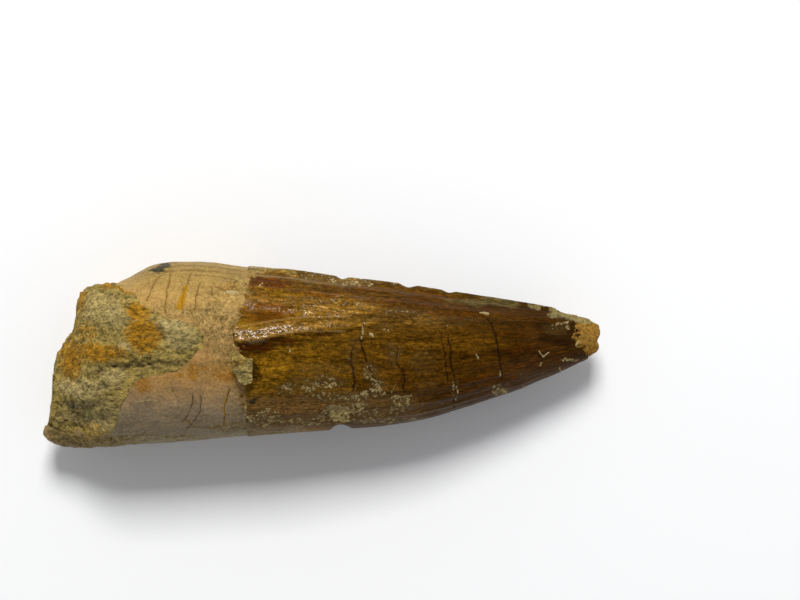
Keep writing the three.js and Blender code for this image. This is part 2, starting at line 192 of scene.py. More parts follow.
# Thin marks that run any way: each is its points (x, y) and its half width. The marks along the keel and
# the fold are a worn, paler line along the keel, and painted highlights along the fold's two edges.
MARKS = {
    "pale_marks": [
        ([(22.1, 0.4), (22.5, -0.1)], 0.05), ([(22.5, -0.1), (23.1, 0.35)], 0.06),
        ([(22.25, -0.95), (22.35, -0.75)], 0.06), ([(4.3, 3.3), (4.15, 2.6), (4, 1.7)], 0.06),
        ([(4.9, 2.2), (5.2, 2)], 0.09), ([(13.2, -2.6), (13.3, -3.4)], 0.06),
        ([(13.6, -3), (13.8, -3.7)], 0.06), ([(17.5, -2.9), (17.4, -3.6), (17.8, -3.9)], 0.06),
        ([(18.4, -3.4), (18.9, -3.9)], 0.06), ([(18, -1.4), (18.15, -2.2)], 0.05),
        ([(26, 1), (26.2, 1.4)], 0.08), ([(-18.6, -4.6), (-17.4, -4.4), (-16.4, -4.4)], 0.05),
        ([(5.1, -2.2), (5.6, -2.5)], 0.05), ([(3.4, -5.6), (4.2, -5.1)], 0.06),
        ([(-6.4, -5.6), (-5.7, -5.45)], 0.05), ([(16.1, 4.2), (16.9, 4.1)], 0.08),
        ([(24.3, -1.2), (24.6, -1.9)], 0.06), ([(20.6, -3), (21.2, -3.3)], 0.06),
        ([(-3.2, 1.2), (-3.1, 0.4)], 0.06), ([(-5.95, 7.3), (-6.3, 6.8)], 0.05),
        ([(15.6, 0.2), (15.8, -0.4)], 0.06), ([(-7.5, -6), (-7.1, -6.4)], 0.12),
        ([(-9.4, 6.45), (-8.5, 6.4)], 0.14),
    ],
    "keel_wear_and_fold_highlights": [
        ([(-7.8, 8), (-6.5, 7.95), (-3.3, 7.75), (-1.2, 7.3), (2, 7)], 0.08),
        ([(-8.8, 2.8), (-6, 3.3), (-3.1, 3.8), (0, 3.9), (2.9, 3.95)], 0.08),
        ([(-7.8, 1.55), (-5, 2), (-2.1, 2.45), (2.4, 2.45)], 0.08),
    ],
    "rusty_lines": [
        ([(-13.6, 6.9), (-13.85, 5.9)], 0.18), ([(-13.85, 5.9), (-14.1, 5)], 0.32),
        ([(-9.3, -3.4), (-9.7, -4.9), (-9.8, -6.8)], 0.06),
    ],
    "dark_lines": [
        ([(-13.6, -6.4), (-12.8, -7.2), (-10.8, -7.3), (-9.7, -7), (-8.2, -6.7)], 0.07),
        ([(-16.6, 9), (-14, 9.15), (-11, 9), (-8, 8.55)], 0.06),
        ([(-15.9, 8.5), (-13.4, 8.7), (-10.6, 8.5), (-8.2, 8.1)], 0.05),
        ([(-13, 8.2), (-10.4, 8), (-8.4, 7.6)], 0.05),
        ([(-2.6, -6.9), (0.5, -5.6), (2.8, -4.4), (3.6, -2.9)], 0.08),
        ([(-4.6, -7.2), (-2.8, -6.5)], 0.06), ([(-14.5, 8), (-12.9, 7.6)], 0.04),
        ([(-10.9, 7.4), (-10.6, 6.9), (-9.6, 6.6), (-8.4, 6.7)], 0.06),
        ([(-11, 6.9), (-10.9, 6), (-10.2, 5.6)], 0.05), ([(-13.9, 6.9), (-14, 5)], 0.05),
        ([(-16.3, -5.9), (-13.8, -6.4), (-11.4, -6.6)], 0.04), ([(-14.9, -3), (-14.2, -4.4)], 0.04),
    ],
}

# Stains on the tooth, each a list of patches (x, y, half length, half width, strength).
TOOTH_STAINS = {
    "redness": [
        (-5.6, 4.7, 2.6, 1.3, 1), (-5.2, 7.2, 2.4, 0.5, 0.9), (1, 6.4, 5, 0.6, 0.45),
        (9, 5.3, 5, 0.8, 0.45), (14, 4.2, 4, 0.5, 0.4), (17, -2.4, 3, 0.5, 0.5), (-2, -4, 4, 0.4, 0.4),
        (20, 0.4, 2, 0.4, 0.6),
    ],
    "golden": [
        (-2.5, -0.2, 5, 1, 0.45), (8, 0.4, 5, 1.2, 0.4), (15, 1.2, 4, 1, 0.4), (4, 7.6, 6, 0.5, 0.8),
        (1, 5.2, 4, 0.5, 0.5),
    ],
    "polish": [
        (-7.2, 2, 1.5, 0.75, 1), (-4.4, 2.7, 2, 0.5, 0.35), (-0.6, 3, 2.6, 0.35, 0.15),
        (-5.4, 5.2, 2.4, 0.7, 0.12), (1.5, 4.9, 4.5, 0.9, 0.24), (9, 3.9, 4, 0.7, 0.16),
        (-11.2, 4.7, 1.6, 0.45, 0.04), (-9, 4.6, 0.7, 0.6, 0.04),
    ],
    # A painted highlight: a pale tan gleam laid on the fold's glossy facet.
    "painted_facet_gleam": [(-7, 2.2, 2.4, 0.65, 1), (-4, 2.8, 2.4, 0.55, 0.7), (-0.6, 3.1, 2.6, 0.4, 0.5)],
    # Painted shade: a dark red-brown strip in the drop just below the fold's lower edge.
    "painted_shade_under_fold": [(-6.8, 0.95, 2.4, 0.32, 1), (-3.6, 1.6, 2.4, 0.25, 0.8), (0.2, 2.2, 3, 0.2, 0.6)],
    # Painted highlights: light streaks along the upper crown and the fold's upper crease.
    "painted_sheen": [
        (-5.4, 5.6, 2.6, 0.5, 0.6), (2, 4.7, 4.5, 0.35, 0.7), (2, 3.3, 4, 0.5, 0.6),
        (10, 3.6, 3, 0.6, 0.4),
    ],
    # Darker enamel near the broken tip and in streaks on the crown, and painted shade below the fold and a
    # painted shadow along the flake's right side.
    "shade": [
        (24.4, 1.8, 2.2, 0.8, 1), (23.2, 3, 1.8, 0.45, 0.9), (25.6, 2.4, 0.5, 0.9, 1),
        (-7, 0.7, 1.8, 0.6, 0.9), (-6.6, -1.4, 0.7, 1.2, 0.8), (4.6, -3.2, 1.4, 1.2, 0.55),
        (8.3, -2.5, 0.5, 1.4, 0.5), (20, 0.2, 3, 0.35, 0.7), (-4.6, 1.3, 3, 0.25, 0.7),
    ],
    "film": [(4, -5.2, 6, 1.7, 0.8), (-4, -5.9, 5, 2, 0.9)],
    # Darker enamel near the tip and on the upper crown, and painted shade along the lower margin.
    "dark_and_painted_shade": [
        (10.5, 4.9, 3.6, 0.6, 0.6), (22.5, -1.5, 4.5, 1.7, 1), (15, -4.2, 5, 1.4, 0.9),
        (23.5, 1.6, 3, 1.6, 0.7), (9, -6.7, 3, 0.5, 1), (12.6, -5.9, 2, 0.6, 1), (16, -4.7, 2, 0.6, 1),
        (19.6, -3.6, 2, 0.6, 1), (4.6, -7.2, 2.4, 0.4, 0.8),
    ],
    "chalk": [(-4.6, -7.5, 3.2, 0.6, 0.9), (-7.2, -7.2, 1, 0.9, 0.9), (10.5, -6.6, 3, 0.35, 0.6)],
    "margin_grey": [(18.5, 5.3, 6, 0.42, 1), (12.6, 6.3, 2, 0.25, 0.7)],
    "deposit": [
        (4.5, -3.8, 0.4, 0.5, 1), (3.5, -4.9, 0.6, 0.25, 0.8), (8, -4.05, 1.1, 0.16, 0.85),
        (8.7, -4.6, 0.14, 0.55, 0.75), (25.4, -0.4, 1.1, 0.22, 0.72), (1.6, -5.6, 2, 0.6, 0.72),
        (3.4, -4, 0.6, 0.35, 0.66), (4.5, -1.8, 0.3, 0.35, 0.66), (5.4, -3.2, 0.35, 0.45, 0.68),
        (18.2, -3.6, 0.7, 0.5, 0.6), (24.4, 3.3, 1.2, 0.15, 0.62), (25.2, 2.8, 0.3, 0.2, 0.6),
        (4.9, 2.1, 0.4, 0.2, 0.7), (13.5, -4, 0.22, 0.5, 0.66), (-7.7, -5.6, 0.3, 2.2, 0.64),
        (7.3, -3.3, 0.1, 0.3, 0.75), (0.2, -2.85, 2.2, 0.2, 0.6), (-1.2, -3.3, 0.8, 0.3, 0.58),
        (2.4, 7.3, 2.4, 0.2, 0.62), (-1.6, -6.7, 1.4, 0.3, 0.62), (-3.4, -3, 0.6, 0.15, 0.6),
    ],
    "specks": [
        (-3.3, -3.1, 1.8, 0.6, 0.72), (-0.2, -2.6, 3, 0.7, 0.74), (0.6, -4, 3, 0.7, 0.8),
        (0, -1.2, 3.4, 0.8, 0.54), (5, -1.6, 1, 1.2, 0.7), (5.6, -3.3, 1, 1, 0.8),
        (3.5, -4.4, 1.5, 1.1, 0.82), (4.7, -5.8, 1.6, 0.8, 0.84), (7.8, -5, 1.5, 1.1, 0.84),
        (5.4, -6.6, 3, 0.5, 0.88), (8.2, 4.3, 2.4, 0.5, 0.72), (6.2, 2.8, 1.2, 0.6, 0.55),
        (18.2, -3.6, 1.1, 0.9, 0.76), (13.5, -3.4, 0.5, 1.2, 0.56), (3.4, 7.1, 3.2, 0.35, 0.76),
        (-0.5, 7.6, 3.2, 0.35, 0.74), (-1.6, -6.4, 2.8, 0.8, 0.84), (-6.9, 6.2, 0.7, 1.5, 0.52),
        (-2, 5.6, 2.8, 0.5, 0.5), (3.2, 0.2, 0.9, 2, 0.5), (10.5, -3, 1.4, 0.8, 0.5),
        (-5.4, -6.2, 2.4, 1.1, 0.86), (-8.4, -7.6, 2, 0.3, 0.58), (7.2, 0.2, 1, 1.4, 0.62),
        (10.2, -0.4, 1.6, 1.4, 0.5), (24, 2.8, 1.6, 0.8, 0.54), (22.5, -2, 3, 1, 0.52),
        (13.5, 3.4, 3.4, 0.6, 0.48), (12.6, -5.2, 2.6, 0.7, 0.52), (7.2, 7, 0.8, 0.2, 0.8),
        (11.7, 6.3, 0.7, 0.2, 0.84),
    ],
    "smudge": [
        (-6.8, -4.5, 0.45, 0.2, 1), (-16.2, 9.05, 0.7, 0.42, 1), (-16.9, 8.7, 0.5, 0.34, 0.9),
        (-17.3, 8.55, 0.4, 0.18, 0.6), (-15.3, 9.4, 0.6, 0.12, 0.6),
    ],
    "keel_band": [(-6, 8.75, 3, 0.45, 1), (-1.6, 8.3, 2.4, 0.3, 0.8), (3.4, 7.7, 3.4, 0.25, 0.6)],
    "tip_rim": [
        (22.6, 4.75, 1.6, 0.2, 0.8), (24.6, 4.1, 1.5, 0.38, 1), (26.2, 3.75, 1.2, 0.38, 1),
        (27.6, 3.4, 0.8, 0.28, 0.8),
    ],
    "grit": [
        (-10.4, 3.4, 2.4, 2.2, 1), (-13.5, 4.4, 3.6, 0.7, 0.8), (-9.6, 0.4, 1.4, 1.6, 0.8),
        (-8.8, 6.8, 1.4, 1.4, 0.8), (-11.8, 6.4, 1.8, 0.8, 0.55), (-8.6, -7.2, 2.4, 0.6, 0.9),
        (-18, -8.4, 7, 0.45, 0.9), (-25.4, -8.9, 3.4, 0.6, 1), (-27.6, -8.2, 0.8, 0.8, 0.7),
        (-11.4, -1.2, 1.6, 0.8, 0.5), (-17.5, 8.4, 1.6, 0.5, 0.5), (-8.6, -3.6, 0.5, 3, 0.5),
    ],
    "iron": [
        (-9.2, 7, 1.2, 0.5, 0.45), (-17.8, -2.9, 0.9, 0.9, 1), (-14.3, -1.9, 0.5, 0.3, 0.8),
        (-12.7, -1.5, 0.6, 0.9, 0.9), (-9.4, -2, 1.3, 0.5, 0.9), (-10.4, -1.2, 1.8, 0.6, 0.5),
    ],
    "weathered": [(-24, -8.8, 4.4, 0.8, 1), (-27, -8.4, 1.4, 0.9, 1)],
    "nub": [(-28.2, -7.4, 0.6, 1.6, 1)],
}

# Stains on the sandstone.
SANDSTONE_STAINS = {
    "iron": [
        (-20.6, 6.4, 1.9, 0.45, 0.85), (-18.3, 4.3, 1.2, 1, 0.9), (-17.6, 2, 1.7, 1.6, 1),
        (-22.6, 0.3, 3.2, 0.9, 0.85), (-25.6, -0.6, 1.4, 1.8, 0.85), (-25.6, 3, 0.5, 2.2, 0.7),
        (-24.6, 4.9, 0.5, 1.2, 0.6), (-23.6, 2.2, 1.2, 0.8, 0.5), (-24.4, -8, 3.4, 0.5, 0.3),
        (-8.2, -0.6, 0.8, 0.6, 0.5), (-23.6, -7.4, 1.6, 0.4, 0.4),
    ],
    "pale": [
        (-22.4, 4.3, 2.4, 1.6, 0.55), (-24.4, -3.2, 2.6, 0.9, 1), (-19.4, 0.9, 0.9, 0.4, 1),
        (-20.6, -1.9, 1.2, 0.7, 0.8), (-22.2, -7.2, 1.6, 0.5, 0.7), (1.6, -5.8, 2.4, 1.8, 1),
        (-15, 3.2, 1.8, 0.6, 0.7),
    ],
    "green": [
        (-14, 1.9, 1.9, 1.2, 1), (-23.2, -5.7, 3, 1.7, 0.9), (-20.4, 3.6, 1.2, 1.2, 0.7),
        (-8, -1.7, 1.5, 1.6, 0.6), (-21.4, -2.8, 1.6, 0.8, 0.7),
    ],
    # Darker stone, and along the foot of the two ledges a painted shadow under the step.
    "dark": [
        (-22.2, -1.5, 0.9, 0.5, 0.7), (-20.3, -0.9, 1.4, 0.45, 0.5), (-17.2, -0.8, 2, 0.4, 0.5),
        (-14.6, -0.6, 1.4, 0.3, 0.5), (-24.8, -4.8, 2, 0.5, 1), (-21.8, -6, 0.8, 0.6, 0.7),
        (-8, -1.6, 1.2, 1.4, 0.3), (-20.4, -5, 1, 1.2, 0.5), (-26.4, -6.4, 1.4, 0.6, 0.7),
        (-16, 2.9, 0.5, 0.6, 0.7), (-24.6, -7, 1.6, 0.5, 0.6),
    ],
}


# ------------------------------------------------------------------ curves, noise and masks


def curve(points):
    """A smooth curve through (position, value) pairs, as a function of position."""
    at, value = np.array(sorted(points), float).T
    slope = np.diff(value) / np.diff(at)
    tangent = np.concatenate([slope[:1], (slope[1:] + slope[:-1]) / 2, slope[-1:]])

    def evaluate(position):
        position = np.clip(position, at[0], at[-1])
        i = np.clip(np.searchsorted(at, position) - 1, 0, len(at) - 2)
        gap = at[i + 1] - at[i]
        u = (position - at[i]) / gap
        rise = u * u * (3 - 2 * u)
        start_pull, end_pull = u * (1 - u) ** 2, u * u * (u - 1)
        return (
            value[i] * (1 - rise) + value[i + 1] * rise
            + gap * (tangent[i] * start_pull + tangent[i + 1] * end_pull)
        )

    return evaluate


def loop_curve(points):
    """The same round a section, for degrees: the curve closes on itself."""
    return curve([(d + turn, v) for turn in (-360, 0, 360) for d, v in points])


def smooth(value, low=0.0, high=1.0):
    """0 below low, 1 above high, and a smooth step between."""
    t = np.clip((value - low) / (high - low), 0, 1)
    return t * t * (3 - 2 * t)


def bump(distance):
    """1 at the centre, falling smoothly to 0 at a distance of one."""
    return smooth(1 - np.abs(distance))


def turn_between(degrees, at):
    """The shorter way round from one angle to another."""
    return (degrees - at + 180) % 360 - 180


def lumps(places, size, octaves=3, seed=0):
    """Fractal noise of about -1 to 1 at each place, with lumps of a size in millimetres."""
    shift = 31.7 * seed
    return np.array([
        noise.fractal(Vector(place), 1.0, 2.0, octaves) for place in places / size + shift
    ])


def layered(places, layers):
    """Several layers of noise in one, each given as (height, size of the lumps, octaves, seed)."""
    return sum(height * lumps(places, size, octaves, seed) for height, size, octaves, seed in layers)


def sideways(places, size, octaves, seeds):
    """Two noises for each place, to move it along X and Y."""
    return np.column_stack([lumps(places, size, octaves, seed) for seed in seeds])


def top_of(x, y):
    """The height of the tooth's plain upper side at x and y."""
    low, high, under, over = lower_margin(x), upper_margin(x), under_face(x), upper_face(x)
    across = np.clip(np.abs(2 * y - low - high) / (high - low), 0, 0.96)
    return (under + over) / 2 + (over - under) / 2 * (1 - across ** ROUNDNESS) ** (1 / ROUNDNESS)


def stained(places, patches):
    """How strong a stain is at each place, 0 to 1. It reaches down the sides by a few of its widths."""
    cover = np.zeros(len(places))
    for x, y, half_length, half_width, strength in patches:
        off = np.hypot((places[:, 0] - x) / half_length, (places[:, 1] - y) / half_width)
        down = np.abs(places[:, 2] - top_of(x, y)) / max(1.3, 4 * half_width)
        cover = np.maximum(cover, strength * smooth(1.6 - off, 0, 1.1) * smooth(1.5 - down, 0, 0.8))
    return cover


def wandered(places):
    """Each place moved a little sideways, so that a stain laid on round patches gets a ragged outline."""
    moved = places.copy()
    moved[:, :2] += STAIN_WANDER * sideways(places, 1.8, 4, seeds=(29, 30))
    return moved


def crack_field(places, cracks):
    """For each place: how far it is from the nearest crack, how far past the crack's end, and the width.

    The distance changes sign from each crack to the next, so that it has no jump halfway between them.
    """
    nearest = np.full(len(places), np.inf)
    field = np.zeros((len(places), 3))
    wander = 0.14 * lumps(places, 0.9, 4, seed=5)
    for order, (points, width) in enumerate(cracks):
        across, along = np.array(points).T
        off = places[:, 0] + wander - curve(list(zip(along, across)))(places[:, 1])
        past = np.maximum(places[:, 1] - along.max(), along.min() - places[:, 1])
        nearer = np.abs(off) < nearest
        nearest[nearer] = np.abs(off)[nearer]
        sign = 1 if order % 2 else -1
        found = np.column_stack([sign * off, np.maximum(past, 0), np.full(len(places), width)])
        field[nearer] = found[nearer]
    return field


def nearest_on(spots, start, end):
    """For each spot (x, y): the nearest place on the line from start to end, and how far it is."""
    reach = end - start
    along = np.clip((spots - start) @ reach / (reach @ reach), 0, 1)[:, None] * reach
    return start + along, np.hypot(*(spots - start - along).T)


def drawn(places, marks):
    """1 on marks drawn from point to point as seen from above, falling smoothly to 0 beside them."""
    cover = np.zeros(len(places))
    spots = places[:, :2] + 0.08 * sideways(places, 0.4, 2, seeds=(15, 16))
    for points, half_width in marks:
        for start, end in zip(np.array(points[:-1]), np.array(points[1:])):
            nearest, away = nearest_on(spots, start, end)
            down = np.abs(places[:, 2] - top_of(*nearest.T))
            line = smooth(1.7 - away / half_width, 0, 1.2)
            cover = np.maximum(cover, line * smooth(1.6 - down, 0, 0.6))
    return cover


def inside_outline(spots, outline):
    """How far each spot (x, y) lies inside an outline, in millimetres, and less than 0 outside it."""
    corners = np.array(outline)
    away = np.full(len(spots), np.inf)
    crossings = np.zeros(len(spots), int)
    for start, end in zip(corners, np.roll(corners, -1, axis=0)):
        away = np.minimum(away, nearest_on(spots, start, end)[1])
        spans = (start[1] > spots[:, 1]) != (end[1] > spots[:, 1])
        run, climb = end - start
        meets = start[0] + (spots[:, 1] - start[1]) * run / (climb or 1)
        crossings += spans & (spots[:, 0] < meets)
    return np.where(crossings % 2 == 1, away, -away)


upper_margin, lower_margin = curve(UPPER_MARGIN), curve(LOWER_MARGIN)
upper_face, under_face = curve(UPPER_FACE), curve(UNDER_FACE)
crown_base, tip_break = loop_curve(CROWN_BASE), loop_curve(TIP_BREAK)


# ------------------------------------------------------------------ meshes


def new_piece(name, points, faces):
    """A smooth-shaded mesh object from points in millimetres."""
    mesh = bpy.data.meshes.new(name)
    mesh.from_pydata((points * MM).tolist(), [], faces)
    mesh.validate()
    mesh.polygons.foreach_set("use_smooth", [True] * len(mesh.polygons))
    piece = bpy.data.objects.new(name, mesh)
    bpy.context.scene.collection.objects.link(piece)
    return piece


def tube(name, rings, count):
    """A piece skinned over rings of points, each ring closed, and both ends drawn to their middles."""
    first, last = len(rings), len(rings) + 1
    around = np.arange(count)
    after = (around + 1) % count
    starts = np.arange(0, len(rings) - count, count)[:, None]
    next_starts = starts + count
    corners = [starts + around, starts + after, next_starts + after, next_starts + around]
    walls = np.stack(corners, axis=2)
    end = len(rings) - count
    faces = walls.reshape(-1, 4).tolist()
    faces += [(first, j, i) for i, j in zip(around.tolist(), after.tolist())]
    faces += [(last, end + i, end + j) for i, j in zip(around.tolist(), after.tolist())]
    middles = [rings[:count].mean(axis=0), rings[-count:].mean(axis=0)]
    return new_piece(name, np.vstack([rings, middles]), faces)


def store(piece, name, values):
    """Keeps a number or a vector for each point, for the material to read.

    A tube's two end points, which come last, take those of its first and its last ring.
    """
    missing = len(piece.data.vertices) - len(values)
    if missing:
        values = np.concatenate([values, values[:1], values[-1:]])
    vector = values.ndim == 2
    kept = piece.data.attributes.new(name, "FLOAT_VECTOR" if vector else "FLOAT", "POINT")
    kept.data.foreach_set("vector" if vector else "value", values.astype(np.float32).ravel())


def degrees_round(first, last, close, wide):
    """Degrees round a section: close together from first to last, and wide apart on the rest."""
    dense = np.linspace(first, last, close, endpoint=False)
    return np.concatenate([dense, np.linspace(last, first + 360, wide, endpoint=False)])


def section_box(x, margin):
    """The middle and the half size of the plain section at x, along Y and Z."""
    low, under, over = lower_margin(x), under_face(x), upper_face(x)
    middle = np.column_stack([(low + margin) / 2, (under + over) / 2])
    return middle, np.column_stack([(margin - low) / 2, (over - under) / 2])


def section(x, degrees, margin):
    """The plain section at x, along Y and Z: its middle, its edge from there, and the way outwards."""
    middle, half = section_box(x, margin)
    turned = np.column_stack([np.cos(np.radians(degrees)), np.sin(np.radians(degrees))])
    return middle, half * np.sign(turned) * np.abs(turned) ** (2 / ROUNDNESS), turned


def grain_space(x, degrees):
    """Places on a straight round rod, so that what is long there runs from the crown's base to its tip."""
    turned = np.radians(degrees)
    return np.column_stack([x, GRAIN_RADIUS * np.cos(turned), GRAIN_RADIUS * np.sin(turned)])


def stone_inside(places):
    """How far each place lies inside the ragged edge of the root's stone, and less than 0 outside it."""
    above = places[:, 2] - curve(MATRIX_REACH)(places[:, 0])
    inside = np.minimum(inside_outline(places[:, :2], MATRIX_COVER), above)
    return inside + 0.35 * lumps(places, 1.3, 4, seed=21)


# ------------------------------------------------------------------ tooth


def tooth_relief(x, degrees, settings):
    """How far the surface stands above the plain section, and how far inside the enamel's edge it is."""
    grain = grain_space(x, degrees)
    jag = layered(grain, ENAMEL_EDGE_JAGS)
    from_base = x - crown_base(degrees) + jag
    from_tip = tip_break(degrees) - x + 0.8 * jag
    inside = np.minimum(from_base, from_tip)
    enamel = smooth(inside, -0.08, 0.08)
    flutes = smooth(x, *FLUTES_RISE) - smooth(x, *FLUTES_FADE)
    uneven = 0.65 + 0.35 * np.sin(np.radians(3 * degrees + 40))
    relief = settings.enamel_step / MM * enamel
    relief += settings.flute_depth / MM * flutes * uneven * np.cos(np.radians(FLUTE_COUNT * degrees))
    relief += settings.striae_depth / MM * enamel * lumps(grain * (0.05, 1, 1), 0.5, 3, seed=2)
    for at, height, half_width in KEELS:
        relief += height * smooth(x, *KEEL_START) * enamel * bump(turn_between(degrees, at) / half_width)
    # The fold is a long flat-topped ridge that drops off sharply on its lower side.
    off = turn_between(degrees, curve(FOLD_EDGE)(x)) + 0.5 * lumps(grain * (0.4, 1, 1), 1.5, 2, seed=17)
    rise = np.clip(1 + off / FOLD_FLAT, 0, 1) * (1 - smooth(off, 0, FOLD_DROP))
    relief += FOLD_HEIGHT * enamel * (1 - smooth(x, *FOLD_FADE)) * rise
    for at_x, at, half_length, depth in BITES:
        across = bump(turn_between(degrees, at) / BITE_HALF_ANGLE)
        relief -= depth * bump((x - at_x) / half_length) * across
    seat_x, seat_at, half_length, half_width, depth = PLUG_SEAT
    relief -= depth * bump((x - seat_x) / half_length) * bump(turn_between(degrees, seat_at) / half_width)
    return relief, inside


def make_tooth(settings):
    """The tooth, as rings of points from the broken root to the broken tip, closed at both ends."""
    runs = [np.linspace(a, b, n, endpoint=False) for a, b, n in RING_RUNS]
    first, last, cap_rings = TIP_CAP
    stations = np.concatenate([*runs, np.full(cap_rings, RING_RUNS[-1][1])])
    shrink = np.ones(len(stations))
    shrink[-cap_rings:] = np.linspace(first, last, cap_rings)
    around = degrees_round(*TOOTH_SEGMENTS)
    degrees = np.tile(around, len(stations))
    station = np.repeat(stations, len(around))
    kept = np.repeat(shrink, len(around))
    # Rings near the crown's base follow its edge.
    near = bump((station - CROWN_BASE_X) / CROWN_BASE_REACH)
    x = station + near * (crown_base(degrees) - CROWN_BASE_X)

    middle, edge, turned = section(x, degrees, upper_margin(x))
    plain = np.column_stack([x, middle + edge])
    proud, inside = tooth_relief(x, degrees, settings)

    cracks = {name: crack_field(plain, rows) for name, rows in CRACKS.items()}
    for field in cracks.values():
        gap = np.hypot(field[:, 0], field[:, 1])
        proud -= settings.crack_depth / MM * bump(gap / (1.8 * field[:, 2]))
    loose = wandered(plain)
    stains = {name: stained(loose, patches) for name, patches in TOOTH_STAINS.items()}
    marks = {name: drawn(plain, rows) for name, rows in MARKS.items()}

    bare = smooth(-inside, -0.05, 0.15)
    past_crown = smooth(x, *TIP_STARTS)
    at_tip, at_root = bare * past_crown, bare * (1 - past_crown)
    proud += at_tip * layered(plain, TIP_GRANULES)
    proud += at_root * ROOT_UNEVEN * lumps(plain, 1.8, 4, seed=4)
    proud += at_root * WEATHERED_RELIEF * stains["weathered"] * lumps(plain, 0.7, 4)
    spalled = smooth(stains["deposit"] + 0.9 * lumps(plain, 0.6, 3, seed=6), 0.6, 0.95)
    proud -= SPALL_DEPTH * spalled * (1 - bare)
    uneven = ENAMEL_UNEVEN * lumps(plain, 1.3, 2, seed=7)
    dimples = (ENAMEL_DIMPLES + POLISH_DIMPLES * stains["polish"]) * lumps(plain, 0.3, 2, seed=18)
    proud += (1 - bare) * (uneven + dimples)
    proud += GRIT_RELIEF * at_root * stains["grit"] * lumps(plain, 0.6, 4, seed=24)
    proud += MARK_HEIGHT * marks["pale_marks"]
    # Under its stone the root is broken away.
    proud -= BREAK_DEPTH * smooth(stone_inside(plain), 0.2, 0.8)

    points = np.column_stack([x, middle + kept[:, None] * (edge + proud[:, None] * turned)])
    dent_y, dent_half, dent_depth = TIP_DENT
    end = smooth(x, *TIP_END)
    points[:, 0] += TIP_BULGE * np.sqrt(1 - kept ** 2) + 0.12 * end * lumps(points, 0.9, 3, seed=8)
    points[:, 0] -= dent_depth * end * bump((points[:, 1] - dent_y) / dent_half)
    points[:, 0] -= ROOT_NUB * (1 - smooth(x, *ROOT_END))
    points[:, 2] = np.maximum(points[:, 2], 0)
    piece = tube("fossil_tooth", points, len(around))
    store(piece, "enamel", inside)
    store(piece, "grain_space", grain_space(station, degrees))
    for name, field in {**cracks, **stains, **marks}.items():
        store(piece, name, field)
    return piece


# ------------------------------------------------------------------ sandstone


def stone_grain(places):
    """Relief of the sandstone's grains, pits and thin crevices, and how deep in them each place is."""
    bedded = places * (0.5, 1, 1)
    pale, green, dark = (stained(places, SANDSTONE_STAINS[name]) for name in ("pale", "green", "dark"))
    rough = 1 - 0.5 * np.maximum(pale, green) + 0.6 * dark
    grain = GRAIN_RELIEF * lumps(bedded, 0.55, 3, seed=13)
    grain += FINE_GRAIN_RELIEF * lumps(places, 0.22, 2, seed=20)
    crevice = smooth(1 - np.abs(lumps(bedded, 1.1, 3, seed=22)) / 0.09)
    crevice *= smooth(lumps(places, 1.6, 2, seed=23), -0.2, 0.3)
    pits = smooth(lumps(bedded, 0.42, 2, seed=14), 0.3, 0.55)
    deep = np.maximum(0.8 * crevice * rough, pits * rough)
    # How deep each place lies in pits and crevices, for the painted shade there.
    return rough * grain - CREVICE_DEPTH * deep, np.clip(deep - 2.5 * grain, 0, 1)


def store_stone(piece, places, hollow_shade):
    """Keeps what the sandstone's material reads: how deep in its hollows each point is, and the stains."""
    store(piece, "hollow_shade", hollow_shade)
    for name, patches in SANDSTONE_STAINS.items():
        store(piece, name, stained(places, patches))


def matrix_relief(places):
    """How far the sandstone stands above the root's plain section, and how deep in crevices a place is."""
    relief = MATRIX_HEIGHT + 0.26 * lumps(places, 2.4, 2, seed=11)
    relief += 0.14 * lumps(places * (0.7, 1, 1), 0.9, 2, seed=12)
    for x, y, radius, height in MATRIX_LUMPS:
        relief += height * bump(np.hypot(places[:, 0] - x, places[:, 1] - y) / (1.5 * radius))
    for line, drop in MATRIX_LEDGES:
        start, end = line[0][0], line[-1][0]
        within = bump((places[:, 0] - (start + end) / 2) / (0.75 * (end - start)))
        edge = curve(line)(places[:, 0]) + 0.7 * lumps(places, 1.1, 4, seed=19)
        relief -= drop * within * smooth(edge - places[:, 1], 0, LEDGE_WIDTH)
    grain, hollow_shade = stone_grain(places)
    return relief + grain, hollow_shade


def make_matrix(settings):
    """The sandstone on the root: a skin proud of the tooth where stone is, and inside it elsewhere."""
    start, end, count = MATRIX_RUN
    around = degrees_round(*MATRIX_SEGMENTS)
    x = np.repeat(np.linspace(start, end, count), len(around))
    degrees = np.tile(around, count)
    margin = curve(MATRIX_UPPER_MARGIN)(x)
    middle, edge, turned = section(x, degrees, margin)
    plain = np.column_stack([x, middle + edge])

    inside = stone_inside(plain)
    relief, hollow_shade = matrix_relief(plain)
    body = smooth(inside, -0.1, 1.2)
    proud = -SUNK + (SUNK + RIM) * smooth(inside, -0.4, 0.0) + settings.roughness * relief * body
    deepest = 0.3 * (upper_face(x) - under_face(x))
    # Away from the stone, the skin follows the tooth's own margin.
    own = smooth(inside, -0.6, 0.6)
    middle, edge, turned = section(x, degrees, own * margin + (1 - own) * upper_margin(x))
    points = np.column_stack([x, middle + edge + np.maximum(proud, -deepest)[:, None] * turned])
    ragged = body * (1 - smooth(x, *STONE_RAGGED_ENDS))
    points[:, :2] += STONE_RAGGED * ragged[:, None] * sideways(plain, 0.8, 3, seeds=(27, 28))
    points[:, 2] = np.maximum(points[:, 2], STONE_FLOOR)
    piece = tube("root_sandstone", points, len(around))
    store_stone(piece, plain, hollow_shade)
    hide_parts("sandstone_matrix")
    return piece


def tooth_gap(points):
    """How far points lie outside the tooth's plain form, roughly, and their offsets from its axis."""
    middle, half = section_box(points[:, 0], upper_margin(points[:, 0]))
    offset = points[:, 1:] - middle
    ratio = (np.abs(offset / half) ** ROUNDNESS).sum(axis=1) ** (1 / ROUNDNESS)
    return (1 - 1 / np.maximum(ratio, 1e-6)) * np.hypot(*offset.T), offset


